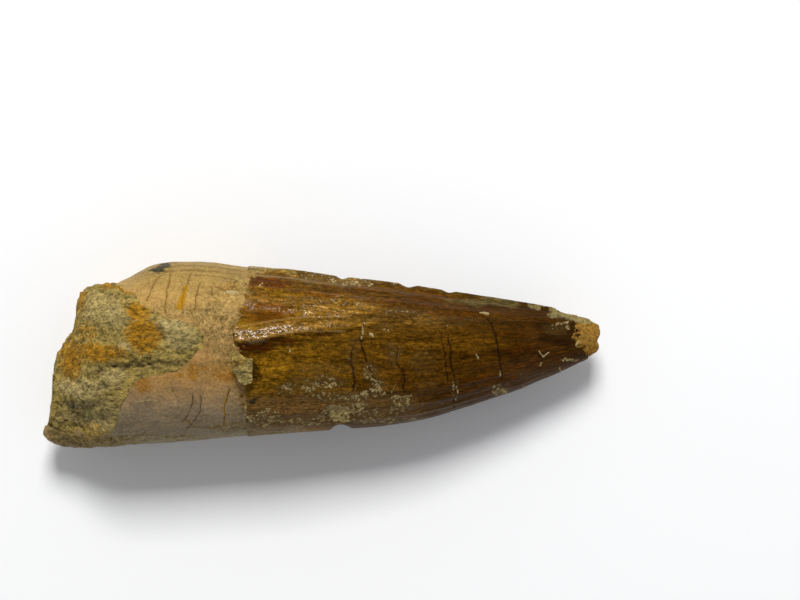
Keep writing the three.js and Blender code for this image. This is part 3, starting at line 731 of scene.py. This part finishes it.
def make_chip(node, name, roughness, ragged, pressed):
    """A small chip of sandstone from its solid: grainy, ragged by some millimetres, on the tooth."""
    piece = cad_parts[node].copy()
    piece.data = piece.data.copy()
    piece.name = name
    piece.parent = None
    bpy.context.scene.collection.objects.link(piece)
    remesh = piece.modifiers.new("Remesh", "REMESH")
    remesh.mode = "VOXEL"
    remesh.voxel_size = CHIP_VOXEL * MM
    depsgraph = bpy.context.evaluated_depsgraph_get()
    mesh = bpy.data.meshes.new_from_object(piece.evaluated_get(depsgraph))
    piece.modifiers.clear()
    piece.data = mesh
    mesh.name = name
    mesh.materials.clear()

    count = len(mesh.vertices)
    points, normals = np.empty(count * 3, np.float32), np.empty(count * 3, np.float32)
    mesh.vertices.foreach_get("co", points)
    mesh.vertices.foreach_get("normal", normals)
    points = points.reshape(-1, 3).astype(float) / MM
    grain, hollow_shade = stone_grain(points)
    proud = roughness * grain + ragged * lumps(points, 0.9, 3, seed=11)
    moved = points + normals.reshape(-1, 3) * proud[:, None]
    gap, offset = tooth_gap(points)
    press = pressed * (1 - smooth(gap, PRESSED_FROM, PRESSED_TO)) * (gap + 0.1)
    moved[:, 1:] -= offset / np.hypot(*offset.T)[:, None] * press[:, None]
    mesh.vertices.foreach_set("co", (moved * MM).astype(np.float32).ravel())
    mesh.polygons.foreach_set("use_smooth", [True] * len(mesh.polygons))
    mesh.update()
    store_stone(piece, points, hollow_shade)
    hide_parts(node)
    return piece


# ------------------------------------------------------------------ materials

FACTOR, NUMBER_A, NUMBER_B, MIX_A, MIX_B = 0, 2, 3, 6, 7  # inputs of a Mix node, for numbers and colours


def linear(hex_colour):
    """An sRGB hex colour as linear red, green, blue and alpha."""
    parts = [(hex_colour >> shift & 255) / 255 for shift in (16, 8, 0)]
    return (*(p / 12.92 if p <= 0.04045 else ((p + 0.055) / 1.055) ** 2.4 for p in parts), 1.0)


def add(tree, kind, inputs=(), stops=(), **settings):
    """Adds a node, sets its properties and its ramp, and gives its inputs values or links to nodes."""
    made = tree.nodes.new("ShaderNode" + kind)
    for name, value in settings.items():
        setattr(made, name, value)
    for i, (position, tint) in enumerate(stops):
        stop = made.color_ramp.elements[i] if i < 2 else made.color_ramp.elements.new(position)
        stop.position, stop.color = position, tint
    for key, value in dict(inputs).items():
        if isinstance(value, bpy.types.Node):
            value = next(output for output in value.outputs if output.enabled)
        if isinstance(value, bpy.types.NodeSocket):
            tree.links.new(value, made.inputs[key])
        else:
            made.inputs[key].default_value = value
    return made


def new_material(name):
    """A material with its Principled shader, and the place on the piece in millimetres."""
    material = bpy.data.materials.new(name)
    material.use_nodes = True
    tree = material.node_tree
    tree.nodes.clear()
    shader = add(tree, "BsdfPrincipled")
    add(tree, "OutputMaterial", {"Surface": shader})
    where = add(tree, "TexCoord").outputs["Object"]
    place = add(tree, "VectorMath", {0: where, "Scale": 1 / MM}, operation="SCALE")
    return material, tree, shader, place


def finish(tree, shader, colour, rough, relief):
    """Leads a colour, a roughness and a relief to the shader: patterns, with depths in millimetres."""
    height = 0.0
    for pattern, depth in relief:
        height = add(tree, "Math", {0: pattern, 1: depth, 2: height}, operation="MULTIPLY_ADD")
    normal = add(tree, "Bump", {"Strength": 1.0, "Distance": MM, "Height": height})
    for socket, source in (
        ("Base Color", colour), ("Roughness", rough), ("Normal", normal), ("Coat Normal", normal),
    ):
        tree.links.new(next(output for output in source.outputs if output.enabled), shader.inputs[socket])


def shaded(tree, colour, pattern, low, high, darkest, lightest):
    """A colour made darker and lighter by a pattern, between two of the pattern's values."""
    shade = add(tree, "MapRange", {0: pattern, 1: low, 2: high, 3: darkest, 4: lightest})
    tone = add(tree, "CombineColor", {0: shade, 1: shade, 2: shade}).outputs["Color"]
    inputs = {FACTOR: 1.0, MIX_A: colour, MIX_B: tone}
    return add(tree, "Mix", inputs, data_type="RGBA", blend_type="MULTIPLY")


def mottled(tree, colour, place, size, detail, roughness, distortion, *shades):
    """A colour shaded by noise of a size in millimetres, from low to lightest as above.

    Returns the colour and the noise.
    """
    pattern = add(tree, "TexNoise", {
        "Vector": place, "Scale": 1 / size, "Detail": detail, "Roughness": roughness,
        "Distortion": distortion,
    })
    return shaded(tree, colour, pattern, *shades), pattern


def stain(tree, colour, place, name, tint, size, ragged, soft, strength, grown=0.0):
    """Lays a stored stain over a colour, broken up by noise of a size in millimetres.

    Returns the colour, and how much of the stain shows.
    """
    cover = add(tree, "Attribute", attribute_name=name).outputs["Fac"]
    noise_inputs = {"Vector": place, "Scale": 1 / size, "Detail": 5.0, "Roughness": 0.68}
    broken = add(tree, "TexNoise", noise_inputs)
    worn = add(tree, "Math", {0: broken, 1: ragged, 2: cover}, operation="MULTIPLY_ADD")
    middle = 0.5 + ragged / 2 - grown
    most = add(tree, "MapRange", {0: cover, 2: 0.15, 4: strength})  # none where nothing is stored
    limits = {0: worn, 1: middle - soft, 2: middle + soft, 4: most}
    shown = add(tree, "MapRange", limits, interpolation_type="SMOOTHSTEP")
    return add(tree, "Mix", {FACTOR: shown, MIX_A: colour, MIX_B: tint}, data_type="RGBA"), shown


def crack_lines(tree, place, name, breaks, spread=1.0):
    """1 along the stored cracks, thinned out by noise where they break off, and spread wider if asked."""
    field = add(tree, "Attribute", attribute_name=name).outputs["Vector"]
    width = add(tree, "SeparateXYZ", {0: field}).outputs["Z"]
    flat = add(tree, "VectorMath", {0: field, 1: (1, 1, 0)}, operation="MULTIPLY")
    away = add(tree, "VectorMath", {0: flat}, operation="LENGTH").outputs["Value"]
    thin = add(tree, "TexNoise", {"Vector": place, "Scale": 1 / 0.5, "Detail": 2.0})
    limits = {0: thin, 1: 0.5 - breaks, 2: 0.5 + breaks, 3: 0.3 * spread, 4: 1.1 * spread}
    share = add(tree, "MapRange", limits)
    reach = add(tree, "Math", {0: share, 1: width}, operation="MULTIPLY")
    return add(tree, "MapRange", {0: away, 2: reach, 3: 1.0, 4: 0.0}, interpolation_type="SMOOTHSTEP")


def enamel_colour(tree, grain, place, settings):
    """The crown's brown: it deepens towards the tip, and is streaked along like wood.

    Returns it and the pattern of its streaks.
    """
    parts = add(tree, "SeparateXYZ", {0: place})
    clouds, fibres, flecks = (
        add(tree, "VectorMath", {0: grain, 1: (share, 1, 1)}, operation="MULTIPLY")
        for share in (0.3, 0.09, 0.4)
    )
    cloud = add(tree, "TexNoise", {"Vector": clouds, "Scale": 1 / 2.5, "Detail": 4.0})
    drift = add(tree, "Math", {0: cloud, 1: 14.0, 2: parts.outputs["X"]}, operation="MULTIPLY_ADD")
    along = add(tree, "MapRange", {0: drift, 1: -1.0, 2: 32.0})
    crown = add(tree, "ValToRGB", {0: along}, stops=[
        (0.0, (*settings.crown_base_colour, 1)), (0.5, (*settings.crown_middle_colour, 1)),
        (0.9, (*settings.crown_tip_colour, 1)),
    ])
    # The underside gets darker.
    height = {0: parts.outputs["Z"], 1: 1.0, 2: 7.0}
    below = add(tree, "MapRange", height, interpolation_type="SMOOTHSTEP")
    crown = shaded(tree, crown, below, 0.0, 1.0, 0.6, 1.0)
    for name, space, tint, size, ragged, soft, strength in (
        ("golden", clouds, 0x6C4A0C, 0.9, 1.0, 0.5, 0.75),
        ("redness", clouds, 0x461E00, 0.9, 1.0, 0.5, 0.85),
        # Painted highlights in light streaks along the upper crown.
        ("painted_sheen", fibres, 0x8A6628, 0.5, 1.6, 0.4, 0.6),
        # A painted highlight on the fold's glossy facet.
        ("painted_facet_gleam", clouds, 0x84602C, 0.25, 1.6, 0.4, 0.5),
        ("film", clouds, 0x624828, 0.8, 0.7, 0.5, 0.8),
        # Darker enamel, and painted shade along the lower margin.
        ("dark_and_painted_shade", clouds, 0x3E240A, 0.8, 0.7, 0.5, 0.85),
        # Darker enamel, and painted shade below the fold and beside the flake.
        ("shade", fibres, 0x1C0C02, 0.7, 1.4, 0.5, 0.85),
        # Painted shade in the drop below the fold.
        ("painted_shade_under_fold", clouds, 0x2C0E02, 0.5, 0.5, 0.35, 0.85),
        ("keel_band", fibres, 0x86703A, 0.5, 1.4, 0.5, 0.85),
        ("margin_grey", fibres, 0x544828, 0.6, 1.2, 0.6, 0.85),
    ):
        crown, _ = stain(tree, crown, space, name, linear(tint), size, ragged, soft, strength)
    # Enamel's own fibres and flecks are a few hundredths of a millimetre wide. That is too fine to show,
    # so they are drawn as coarse as they need to show.
    crown, _ = mottled(tree, crown, fibres, 0.9, 2.0, 0.5, 0.0, 0.35, 0.65, 0.78, 1.22)
    crown, streak = mottled(tree, crown, fibres, 0.25, 4.0, 0.65, 1.5, 0.35, 0.65, 0.5, 1.5)
    crown, _ = mottled(tree, crown, flecks, 0.18, 3.0, 0.8, 0.0, 0.37, 0.63, 0.52, 1.5)
    crown, _ = mottled(tree, crown, flecks, 0.3, 5.0, 0.85, 1.0, 0.38, 0.62, 0.48, 1.56)
    return crown, streak


def root_colour(tree, grain, place, settings):
    """The root's dentine: tan above, pinker and greyer below, mottled and stained by sand and iron."""
    mottle = add(tree, "TexNoise", {"Vector": place, "Scale": 1 / 1.4, "Detail": 6.0, "Roughness": 0.6})
    across = add(tree, "SeparateXYZ", {0: place}).outputs["Y"]
    drift = add(tree, "Math", {0: mottle, 1: 3.0, 2: across}, operation="MULTIPLY_ADD")
    height = add(tree, "MapRange", {0: drift, 1: -6.5, 2: 10.0})
    root = add(tree, "ValToRGB", {0: height}, stops=[
        (0.0, linear(0x7A6E58)), (0.16, (*settings.root_shade_colour, 1)), (0.37, linear(0x9A7643)),
        (0.62, linear(0x957448)), (0.85, (*settings.root_colour, 1)), (1.0, linear(0x8C7440)),
    ])
    root = shaded(tree, root, mottle, 0.3, 0.7, 0.85, 1.15)
    # Growth lines, and pores. Real pores are some thousandths of a millimetre wide, too fine to show, so
    # they are drawn as coarse as they need to show.
    lines = add(tree, "VectorMath", {0: grain, 1: (0.1, 1, 1)}, operation="MULTIPLY")
    root, _ = mottled(tree, root, lines, 0.4, 3.0, 0.7, 0.0, 0.3, 0.7, 0.84, 1.16)
    root, pore = mottled(tree, root, place, 0.24, 4.0, 0.75, 0.0, 0.36, 0.64, 0.74, 1.28)
    rust = shaded(tree, linear(0x8A5E1A), pore, 0.36, 0.64, 0.6, 1.35)
    for name, tint, size, ragged, soft, strength in (
        ("grit", linear(0x7E6E42), 0.28, 2.0, 0.3, 0.45),
        ("iron", rust, 0.5, 2.2, 0.4, 0.7),
        ("weathered", linear(0x74623A), 0.5, 0.8, 0.4, 0.85),
        ("nub", linear(0x8E7850), 0.5, 0.8, 0.3, 0.9),
    ):
        root, _ = stain(tree, root, place, name, tint, size, ragged, soft, strength)
    pitted, _ = mottled(tree, root, place, 0.4, 5.0, 0.8, 1.0, 0.4, 0.6, 0.38, 1.5)
    grit = add(tree, "Attribute", attribute_name="grit").outputs["Fac"]
    return add(tree, "Mix", {FACTOR: grit, MIX_A: root, MIX_B: pitted}, data_type="RGBA")


def tooth_material(settings):
    """Mineralised enamel over dentine.

    The crown is glossy and streaked brown, the root satin and tan, and the broken tip matt and granular.
    """
    material, tree, shader, place = new_material("fossil_enamel_and_dentine")
    grain = add(tree, "Attribute", attribute_name="grain_space").outputs["Vector"]
    edge = add(tree, "Attribute", attribute_name="enamel").outputs["Fac"]
    x = add(tree, "SeparateXYZ", {0: place}).outputs["X"]
    crown, streak = enamel_colour(tree, grain, place, settings)
    root = root_colour(tree, grain, place, settings)

    # The broken tip is bare, granular dentine, with grains drawn as coarse as they need to show.
    tip = (*settings.tip_colour, 1)
    tip, crumb = mottled(tree, tip, place, 0.26, 4.0, 0.75, 0.0, 0.37, 0.62, 0.5, 1.3)
    at_tip = add(tree, "Math", {0: x, 1: TIP_SIDE_X}, operation="GREATER_THAN")
    bare = add(tree, "Mix", {FACTOR: at_tip, MIX_A: root, MIX_B: tip}, data_type="RGBA")

    fray = {"Vector": place, "Scale": 1 / 0.6, "Detail": 5.0, "Roughness": 0.7}
    rag = add(tree, "Math", {0: add(tree, "TexNoise", fray), 1: 4.5, 2: edge}, operation="MULTIPLY_ADD")
    enamel = add(tree, "MapRange", {0: rag, 1: 2.05, 2: 2.45}, interpolation_type="SMOOTHSTEP")
    colour = add(tree, "Mix", {FACTOR: enamel, MIX_A: bare, MIX_B: crown}, data_type="RGBA")

    # A rim of sandy crust lies along the margin there.
    rim = shaded(tree, linear(0x82764C), crumb, 0.38, 0.62, 0.4, 1.35)
    colour, _ = stain(tree, colour, place, "tip_rim", rim, 0.3, 1.6, 0.3, 0.9)

    # Cracks are dark lines, each in a fainter halo.
    cracked = 0.0
    for name, tint, halo_tint in (
        ("crown_cracks", 0x1A0E06, 0x2C1404), ("root_cracks_above", 0x7E5E2C, 0x8E6E3C),
        ("root_cracks_below", 0x5A4630, 0x6A5840),
    ):
        halo = crack_lines(tree, place, name, 0.08, 3.5)
        faint = add(tree, "Math", {0: halo, 1: 0.55}, operation="MULTIPLY")
        line = crack_lines(tree, place, name, 0.12)
        for cover, shade in ((faint, linear(halo_tint)), (line, linear(tint))):
            colour = add(tree, "Mix", {FACTOR: cover, MIX_A: colour, MIX_B: shade}, data_type="RGBA")
        cracked = add(tree, "Math", {0: cracked, 1: line}, operation="MAXIMUM")

    # Lines, the black smudge, and pale sandy deposit with dark rims.
    crumbs = add(tree, "TexNoise", {"Vector": place, "Scale": 1 / 0.35, "Detail": 3.0})
    soot = shaded(tree, linear(0x20221A), crumbs, 0.36, 0.64, 0.3, 1.9)
    sand = shaded(tree, linear(0x96845A), crumbs, 0.38, 0.62, 0.55, 1.45)
    grey_crust = shaded(tree, linear(0x76694A), crumbs, 0.36, 0.64, 0.55, 1.35)
    shown = {}  # how much of each shows, as laid on last
    for name, tint, size, ragged, soft, strength, grown in (
        ("dark_lines", linear(0x6A5028), 0.5, 1.2, 0.4, 0.7, 0),
        ("rusty_lines", linear(0xA07414), 0.4, 0.8, 0.3, 0.9, 0),
        # A worn, paler line along the keel, and painted highlights along the fold's two edges.
        ("keel_wear_and_fold_highlights", linear(0x8E7040), 0.8, 0.5, 0.4, 0.5, 0),
        ("smudge", soot, 0.4, 2.6, 0.3, 0.92, 0),
        ("chalk", grey_crust, 0.7, 2.8, 0.35, 0.75, 0),
        ("specks", linear(0x4E3C20), 0.7, 0.8, 0.3, 0.45, 0),
        ("specks", linear(0x1C1208), 0.4, 2.8, 0.15, 0.4, -0.3),
        ("specks", sand, 0.4, 2.8, 0.15, 0.9, -0.44),
        ("deposit", linear(0x1C1208), 0.28, 2.4, 0.15, 0.6, -0.02),
        ("deposit", sand, 0.28, 2.4, 0.12, 0.85, -0.08),
        ("pale_marks", linear(0xA8976C), 0.18, 2.4, 0.3, 0.8, 0),
    ):
        colour, shown[name] = stain(tree, colour, place, name, tint, size, ragged, soft, strength, grown)
    sandy = shown["deposit"]
    for name in ("pale_marks", "specks"):
        sandy = add(tree, "Math", {0: sandy, 1: shown[name]}, operation="MAXIMUM")

    # Roughness: enamel is glossy, the root satin, the tip and the deposit matt.
    worn = add(tree, "Attribute", attribute_name="film").outputs["Fac"]
    gloss = add(tree, "MapRange", {0: worn, 3: settings.enamel_roughness, 4: 0.6})
    bare_rough = add(tree, "MapRange", {0: at_tip, 3: 0.5, 4: 0.85})
    rough = {FACTOR: enamel, NUMBER_A: bare_rough, NUMBER_B: gloss}
    rough = add(tree, "Mix", rough, data_type="FLOAT")
    rough = add(tree, "Mix", {FACTOR: sandy, NUMBER_A: rough, NUMBER_B: 0.85}, data_type="FLOAT")

    # The most polished enamel glints in facets, and shows as a clear coat.
    polish = add(tree, "Attribute", attribute_name="polish").outputs["Fac"]
    facets = add(tree, "TexNoise", {"Vector": place, "Scale": 1 / 0.28, "Detail": 2.0})
    faceted = add(tree, "Math", {0: facets, 1: polish}, operation="MULTIPLY")
    limits = {0: facets, 1: 0.48, 2: 0.55, 3: 0.05}
    glints = add(tree, "MapRange", limits, interpolation_type="SMOOTHSTEP")
    coat = add(tree, "Math", {0: glints, 1: polish}, operation="MULTIPLY")
    tree.links.new(coat.outputs[0], shader.inputs["Coat Weight"])
    shader.inputs["Coat Roughness"].default_value = 0.06
    shader.inputs["Coat IOR"].default_value = 1.8
    shader.inputs["IOR"].default_value = 1.5
    shader.inputs["Specular IOR Level"].default_value = 0.12
    shader.inputs["Specular Tint"].default_value = linear(0xFFC850)

    # Relief too fine for the mesh: grain, pores, facets, cracks, deposit and the tip's crumbs.
    pores = add(tree, "TexNoise", {"Vector": place, "Scale": 1 / 0.28, "Detail": 3.0})
    pore_depth = add(tree, "MapRange", {0: enamel, 3: 0.05, 4: 0.012})
    crumbly = add(tree, "Math", {0: crumb, 1: at_tip}, operation="MULTIPLY")
    finish(tree, shader, colour, rough, [
        (streak, 0.022), (pores, pore_depth), (faceted, 0.14), (cracked, -0.06), (sandy, 0.03),
        (crumbly, 0.1),
    ])
    return material


def sandstone_material(settings):
    """Sandstone: pale olive sand grains in a clay cement, rusted orange by iron, and dark in the pits."""
    material, tree, shader, place = new_material("iron_stained_sandstone")
    beds = add(tree, "VectorMath", {0: place, 1: (0.4, 1, 1)}, operation="MULTIPLY")
    colour = (*settings.stone_colour, 1)
    colour, _ = mottled(tree, colour, beds, 1.0, 7.0, 0.7, 0.6, 0.35, 0.65, 0.86, 1.16)
    for name, tint, size, ragged, soft, strength in (
        ("green", linear(0x84764B), 0.8, 1.0, 0.4, 0.8),
        ("pale", linear(0xA2905F), 0.5, 1.2, 0.35, 0.8),
        ("iron", (*settings.iron_colour, 1), 0.5, 2.0, 0.4, 0.85),
        # Darker stone, and a painted shadow at the foot of the ledges.
        ("dark", linear(0x5C5238), 0.5, 1.2, 0.4, 0.6),
        # Painted shade in the pits and crevices, by how deep each point lies in them.
        ("hollow_shade", linear(0x4E4128), 0.25, 0.8, 0.4, 0.5),
    ):
        colour, _ = stain(tree, colour, place, name, tint, size, ragged, soft, strength)

    # Sand grains of a quarter of a millimetre, each a little lighter or darker than the next.
    grains = add(tree, "TexVoronoi", {"Vector": place, "Scale": 1 / 0.25, "Randomness": 1.0})
    value = add(tree, "SeparateColor", {0: grains.outputs["Color"]}).outputs["Red"]
    colour = shaded(tree, colour, value, 0.0, 1.0, 0.8, 1.2)
    # Dust of clay between them, and dark pits of two sizes.
    colour, dust = mottled(tree, colour, beds, 0.26, 4.0, 0.75, 0.4, 0.36, 0.64, 0.82, 1.2)
    colour, _ = mottled(tree, colour, beds, 0.18, 3.0, 0.7, 0.0, 0.36, 0.5, 0.45, 1.14)
    colour, _ = mottled(tree, colour, beds, 0.5, 4.0, 0.75, 0.0, 0.38, 0.52, 0.5, 1.1)
    rough = add(tree, "MapRange", {0: value, 3: 0.8, 4: 0.95})
    shader.inputs["Specular IOR Level"].default_value = 0.1
    finish(tree, shader, colour, rough, [(grains.outputs["Distance"], -0.05), (dust, 0.07)])
    return material


def floor_material(settings):
    """Matt card: a plain, faintly uneven sheet, so that nothing draws the eye from the tooth."""
    material, tree, shader, place = new_material("matt_card")
    pulp = add(tree, "TexNoise", {"Vector": place, "Scale": 1 / 0.8, "Detail": 2.0})
    normal = add(tree, "Bump", {"Strength": 0.15, "Distance": 0.05 * MM, "Height": pulp})
    tree.links.new(normal.outputs["Normal"], shader.inputs["Normal"])
    shader.inputs["Base Color"].default_value = (*settings.floor_colour, 1)
    shader.inputs["Roughness"].default_value = 0.9
    return material


# ------------------------------------------------------------------ settings


def span(name, description, millimetres):
    """A setting that is a length."""
    return FloatProperty(
        name=name, description=description, default=millimetres * MM,
        unit="LENGTH", subtype="DISTANCE", precision=5,
    )


def hue(name, description, hex_colour):
    """A setting that is a colour."""
    return FloatVectorProperty(
        name=name, description=description, default=linear(hex_colour)[:3],
        subtype="COLOR", min=0.0, max=1.0,
    )


class FossilToothSettings(bpy.types.PropertyGroup):
    """Relief and colours of the tooth."""

    enamel_step: span("Enamel step", "How far the enamel stands above the dentine", 0.17)
    flute_depth: span("Flute depth", "Depth of the broad flutes along the crown", 0.05)
    striae_depth: span("Striae depth", "Depth of the fine lines along the crown", 0.05)
    crack_depth: span("Crack depth", "Depth of the cracks across the crown and the root", 0.08)
    enamel_roughness: FloatProperty(
        name="Enamel roughness", description="Roughness of the enamel where no film covers it",
        default=0.36, min=0.0, max=1.0, subtype="FACTOR",
    )
    crown_base_colour: hue("Crown base colour", "Colour of the enamel next to the root", 0x66480C)
    crown_middle_colour: hue("Crown middle colour", "Colour of the enamel halfway along", 0x482E08)
    crown_tip_colour: hue("Crown tip colour", "Colour of the enamel next to the broken tip", 0x301800)
    root_colour: hue("Root colour", "Colour of the root towards the keeled margin", 0xA6864E)
    root_shade_colour: hue("Root shade colour", "Colour of the root towards the lower margin", 0x7E6E57)
    tip_colour: hue("Tip colour", "Colour of the bare dentine in the broken tip", 0x8E6A2E)


class FossilSandstoneSettings(bpy.types.PropertyGroup):
    """Relief and colours of the sandstone."""

    roughness: FloatProperty(
        name="Roughness", description="Scale of the lumps and pits of the sandstone's surface",
        default=1.0, min=0.0, max=3.0,
    )
    stone_colour: hue("Stone colour", "Colour of the clean sandstone", 0x8A773F)
    iron_colour: hue("Iron colour", "Colour of the sandstone where iron stains it", 0x8E6200)


class FossilStageSettings(bpy.types.PropertyGroup):
    """Floor, lights and camera."""

    floor_colour: hue("Floor colour", "Colour of the plain card under the tooth", 0xF4F6FA)
    key_power: FloatProperty(
        name="Key power", description="Power of the soft light beyond the keeled margin",
        default=5.0, unit="POWER", min=0.0,
    )
    ceiling_light: FloatProperty(
        name="Ceiling light", description="Strength of the even light from straight above",
        default=0.12, min=0.0,
    )
    wall_light: FloatProperty(
        name="Wall light", description="Strength of the even light from the sides",
        default=0.9, min=0.0,
    )
    camera_height: span("Camera height", "Height of the camera above the tooth's widest level", 220)


# ------------------------------------------------------------------ operators


class FOSSIL_OT_add_tooth(bpy.types.Operator):
    """Adds the tooth, with its enamel, root and broken tip"""

    bl_idname = "fossil.add_tooth"
    bl_label = "Add the Tooth"

    def execute(self, context):
        settings = context.scene.fossil_tooth
        piece = make_tooth(settings)
        piece.data.materials.append(tooth_material(settings))
        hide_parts("tooth")
        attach(piece, "root")
        return {"FINISHED"}


class FOSSIL_OT_add_sandstone(bpy.types.Operator):
    """Adds the sandstone on the root, the flake on the crown's base and the plug in the notch"""

    bl_idname = "fossil.add_sandstone"
    bl_label = "Add the Sandstone"

    def execute(self, context):
        settings = context.scene.fossil_sandstone
        material = sandstone_material(settings)
        pieces = [
            make_matrix(settings),
            make_chip("matrix_flake", "crown_base_flake", 0.8 * settings.roughness, 0.12, pressed=1),
            make_chip("notch_sandstone", "notch_plug", settings.roughness, 0.35, pressed=0),
        ]
        for piece in pieces:
            piece.data.materials.append(material)
            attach(piece, "root")
        return {"FINISHED"}


# The camera looks straight down on this point, and sees this width there.
VIEW_CENTRE = (7.89, 5.64, 6.5)
VIEW_WIDTH = 82.0
SENSOR = 36.0
KEY_PLACE, KEY_SIZE = (0, 470, 540), 240
FLOOR_HALF = 900


def soft_room(settings):
    """A world like a soft room: a dim ceiling, and walls that are brighter the lower they are."""
    world = bpy.data.worlds.new("soft_room")
    world.use_nodes = True
    tree = world.node_tree
    where = add(tree, "TexCoord").outputs["Generated"]
    up = add(tree, "SeparateXYZ", {0: where}).outputs["Z"]
    down = add(tree, "MapRange", {0: up, 3: settings.wall_light, 4: settings.ceiling_light})
    tree.links.new(down.outputs[0], tree.nodes["Background"].inputs["Strength"])
    tree.nodes["Background"].inputs["Color"].default_value = (1, 1, 1, 1)
    return world


class FOSSIL_OT_add_stage(bpy.types.Operator):
    """Adds the floor, the lights and the camera above the tooth"""

    bl_idname = "fossil.add_stage"
    bl_label = "Add the Stage"

    def execute(self, context):
        scene, settings = context.scene, context.scene.fossil_stage
        corners = FLOOR_HALF * np.array([(-1, -1, 0), (1, -1, 0), (1, 1, 0), (-1, 1, 0)], float)
        floor = new_piece("floor", corners, [(0, 1, 2, 3)])
        floor.data.materials.append(floor_material(settings))

        scene.world = soft_room(settings)
        lamp = bpy.data.lights.new("key", "AREA")
        lamp.size, lamp.energy, lamp.color = KEY_SIZE * MM, settings.key_power, (1.0, 0.98, 0.94)
        key = bpy.data.objects.new("key", lamp)
        key.location = Vector(KEY_PLACE) * MM
        key.rotation_euler = (-key.location).to_track_quat("-Z", "Y").to_euler()
        scene.collection.objects.link(key)

        camera = bpy.data.cameras.new("camera")
        camera.sensor_width = SENSOR
        camera.lens = SENSOR * settings.camera_height / (VIEW_WIDTH * MM)
        camera.clip_start = 0.01
        eye = bpy.data.objects.new("camera", camera)
        eye.location = Vector(VIEW_CENTRE) * MM + Vector((0, 0, settings.camera_height))
        scene.collection.objects.link(eye)
        scene.camera = eye
        scene.view_settings.view_transform = "Standard"
        return {"FINISHED"}


class FOSSIL_PT_panel(bpy.types.Panel):
    """Lists the operators and their settings"""

    bl_label = "Fossil Tooth"
    bl_idname = "FOSSIL_PT_panel"
    bl_space_type = "VIEW_3D"
    bl_region_type = "UI"
    bl_category = "Fossil"

    def draw(self, context):
        for operator, group in STEPS:
            box = self.layout.box()
            settings = getattr(context.scene, group)
            for name in settings.bl_rna.properties.keys():
                if name not in ("rna_type", "name"):
                    box.prop(settings, name)
            box.operator(operator)


STEPS = [
    ("fossil.add_tooth", "fossil_tooth"),
    ("fossil.add_sandstone", "fossil_sandstone"),
    ("fossil.add_stage", "fossil_stage"),
]
SETTINGS = {
    "fossil_tooth": FossilToothSettings,
    "fossil_sandstone": FossilSandstoneSettings,
    "fossil_stage": FossilStageSettings,
}
CLASSES = [
    *SETTINGS.values(), FOSSIL_OT_add_tooth, FOSSIL_OT_add_sandstone, FOSSIL_OT_add_stage, FOSSIL_PT_panel,
]


def register():
    for cls in CLASSES:
        bpy.utils.register_class(cls)
    for name, group in SETTINGS.items():
        setattr(bpy.types.Scene, name, PointerProperty(type=group))


def unregister():
    for name in SETTINGS:
        delattr(bpy.types.Scene, name)
    for cls in reversed(CLASSES):
        bpy.utils.unregister_class(cls)


def main():
    """Registers the classes and runs each operator in turn."""
    register()
    for operator, _ in STEPS:
        family, name = operator.split(".")
        getattr(getattr(bpy.ops, family), name)()


if __name__ == "__main__":
    main()
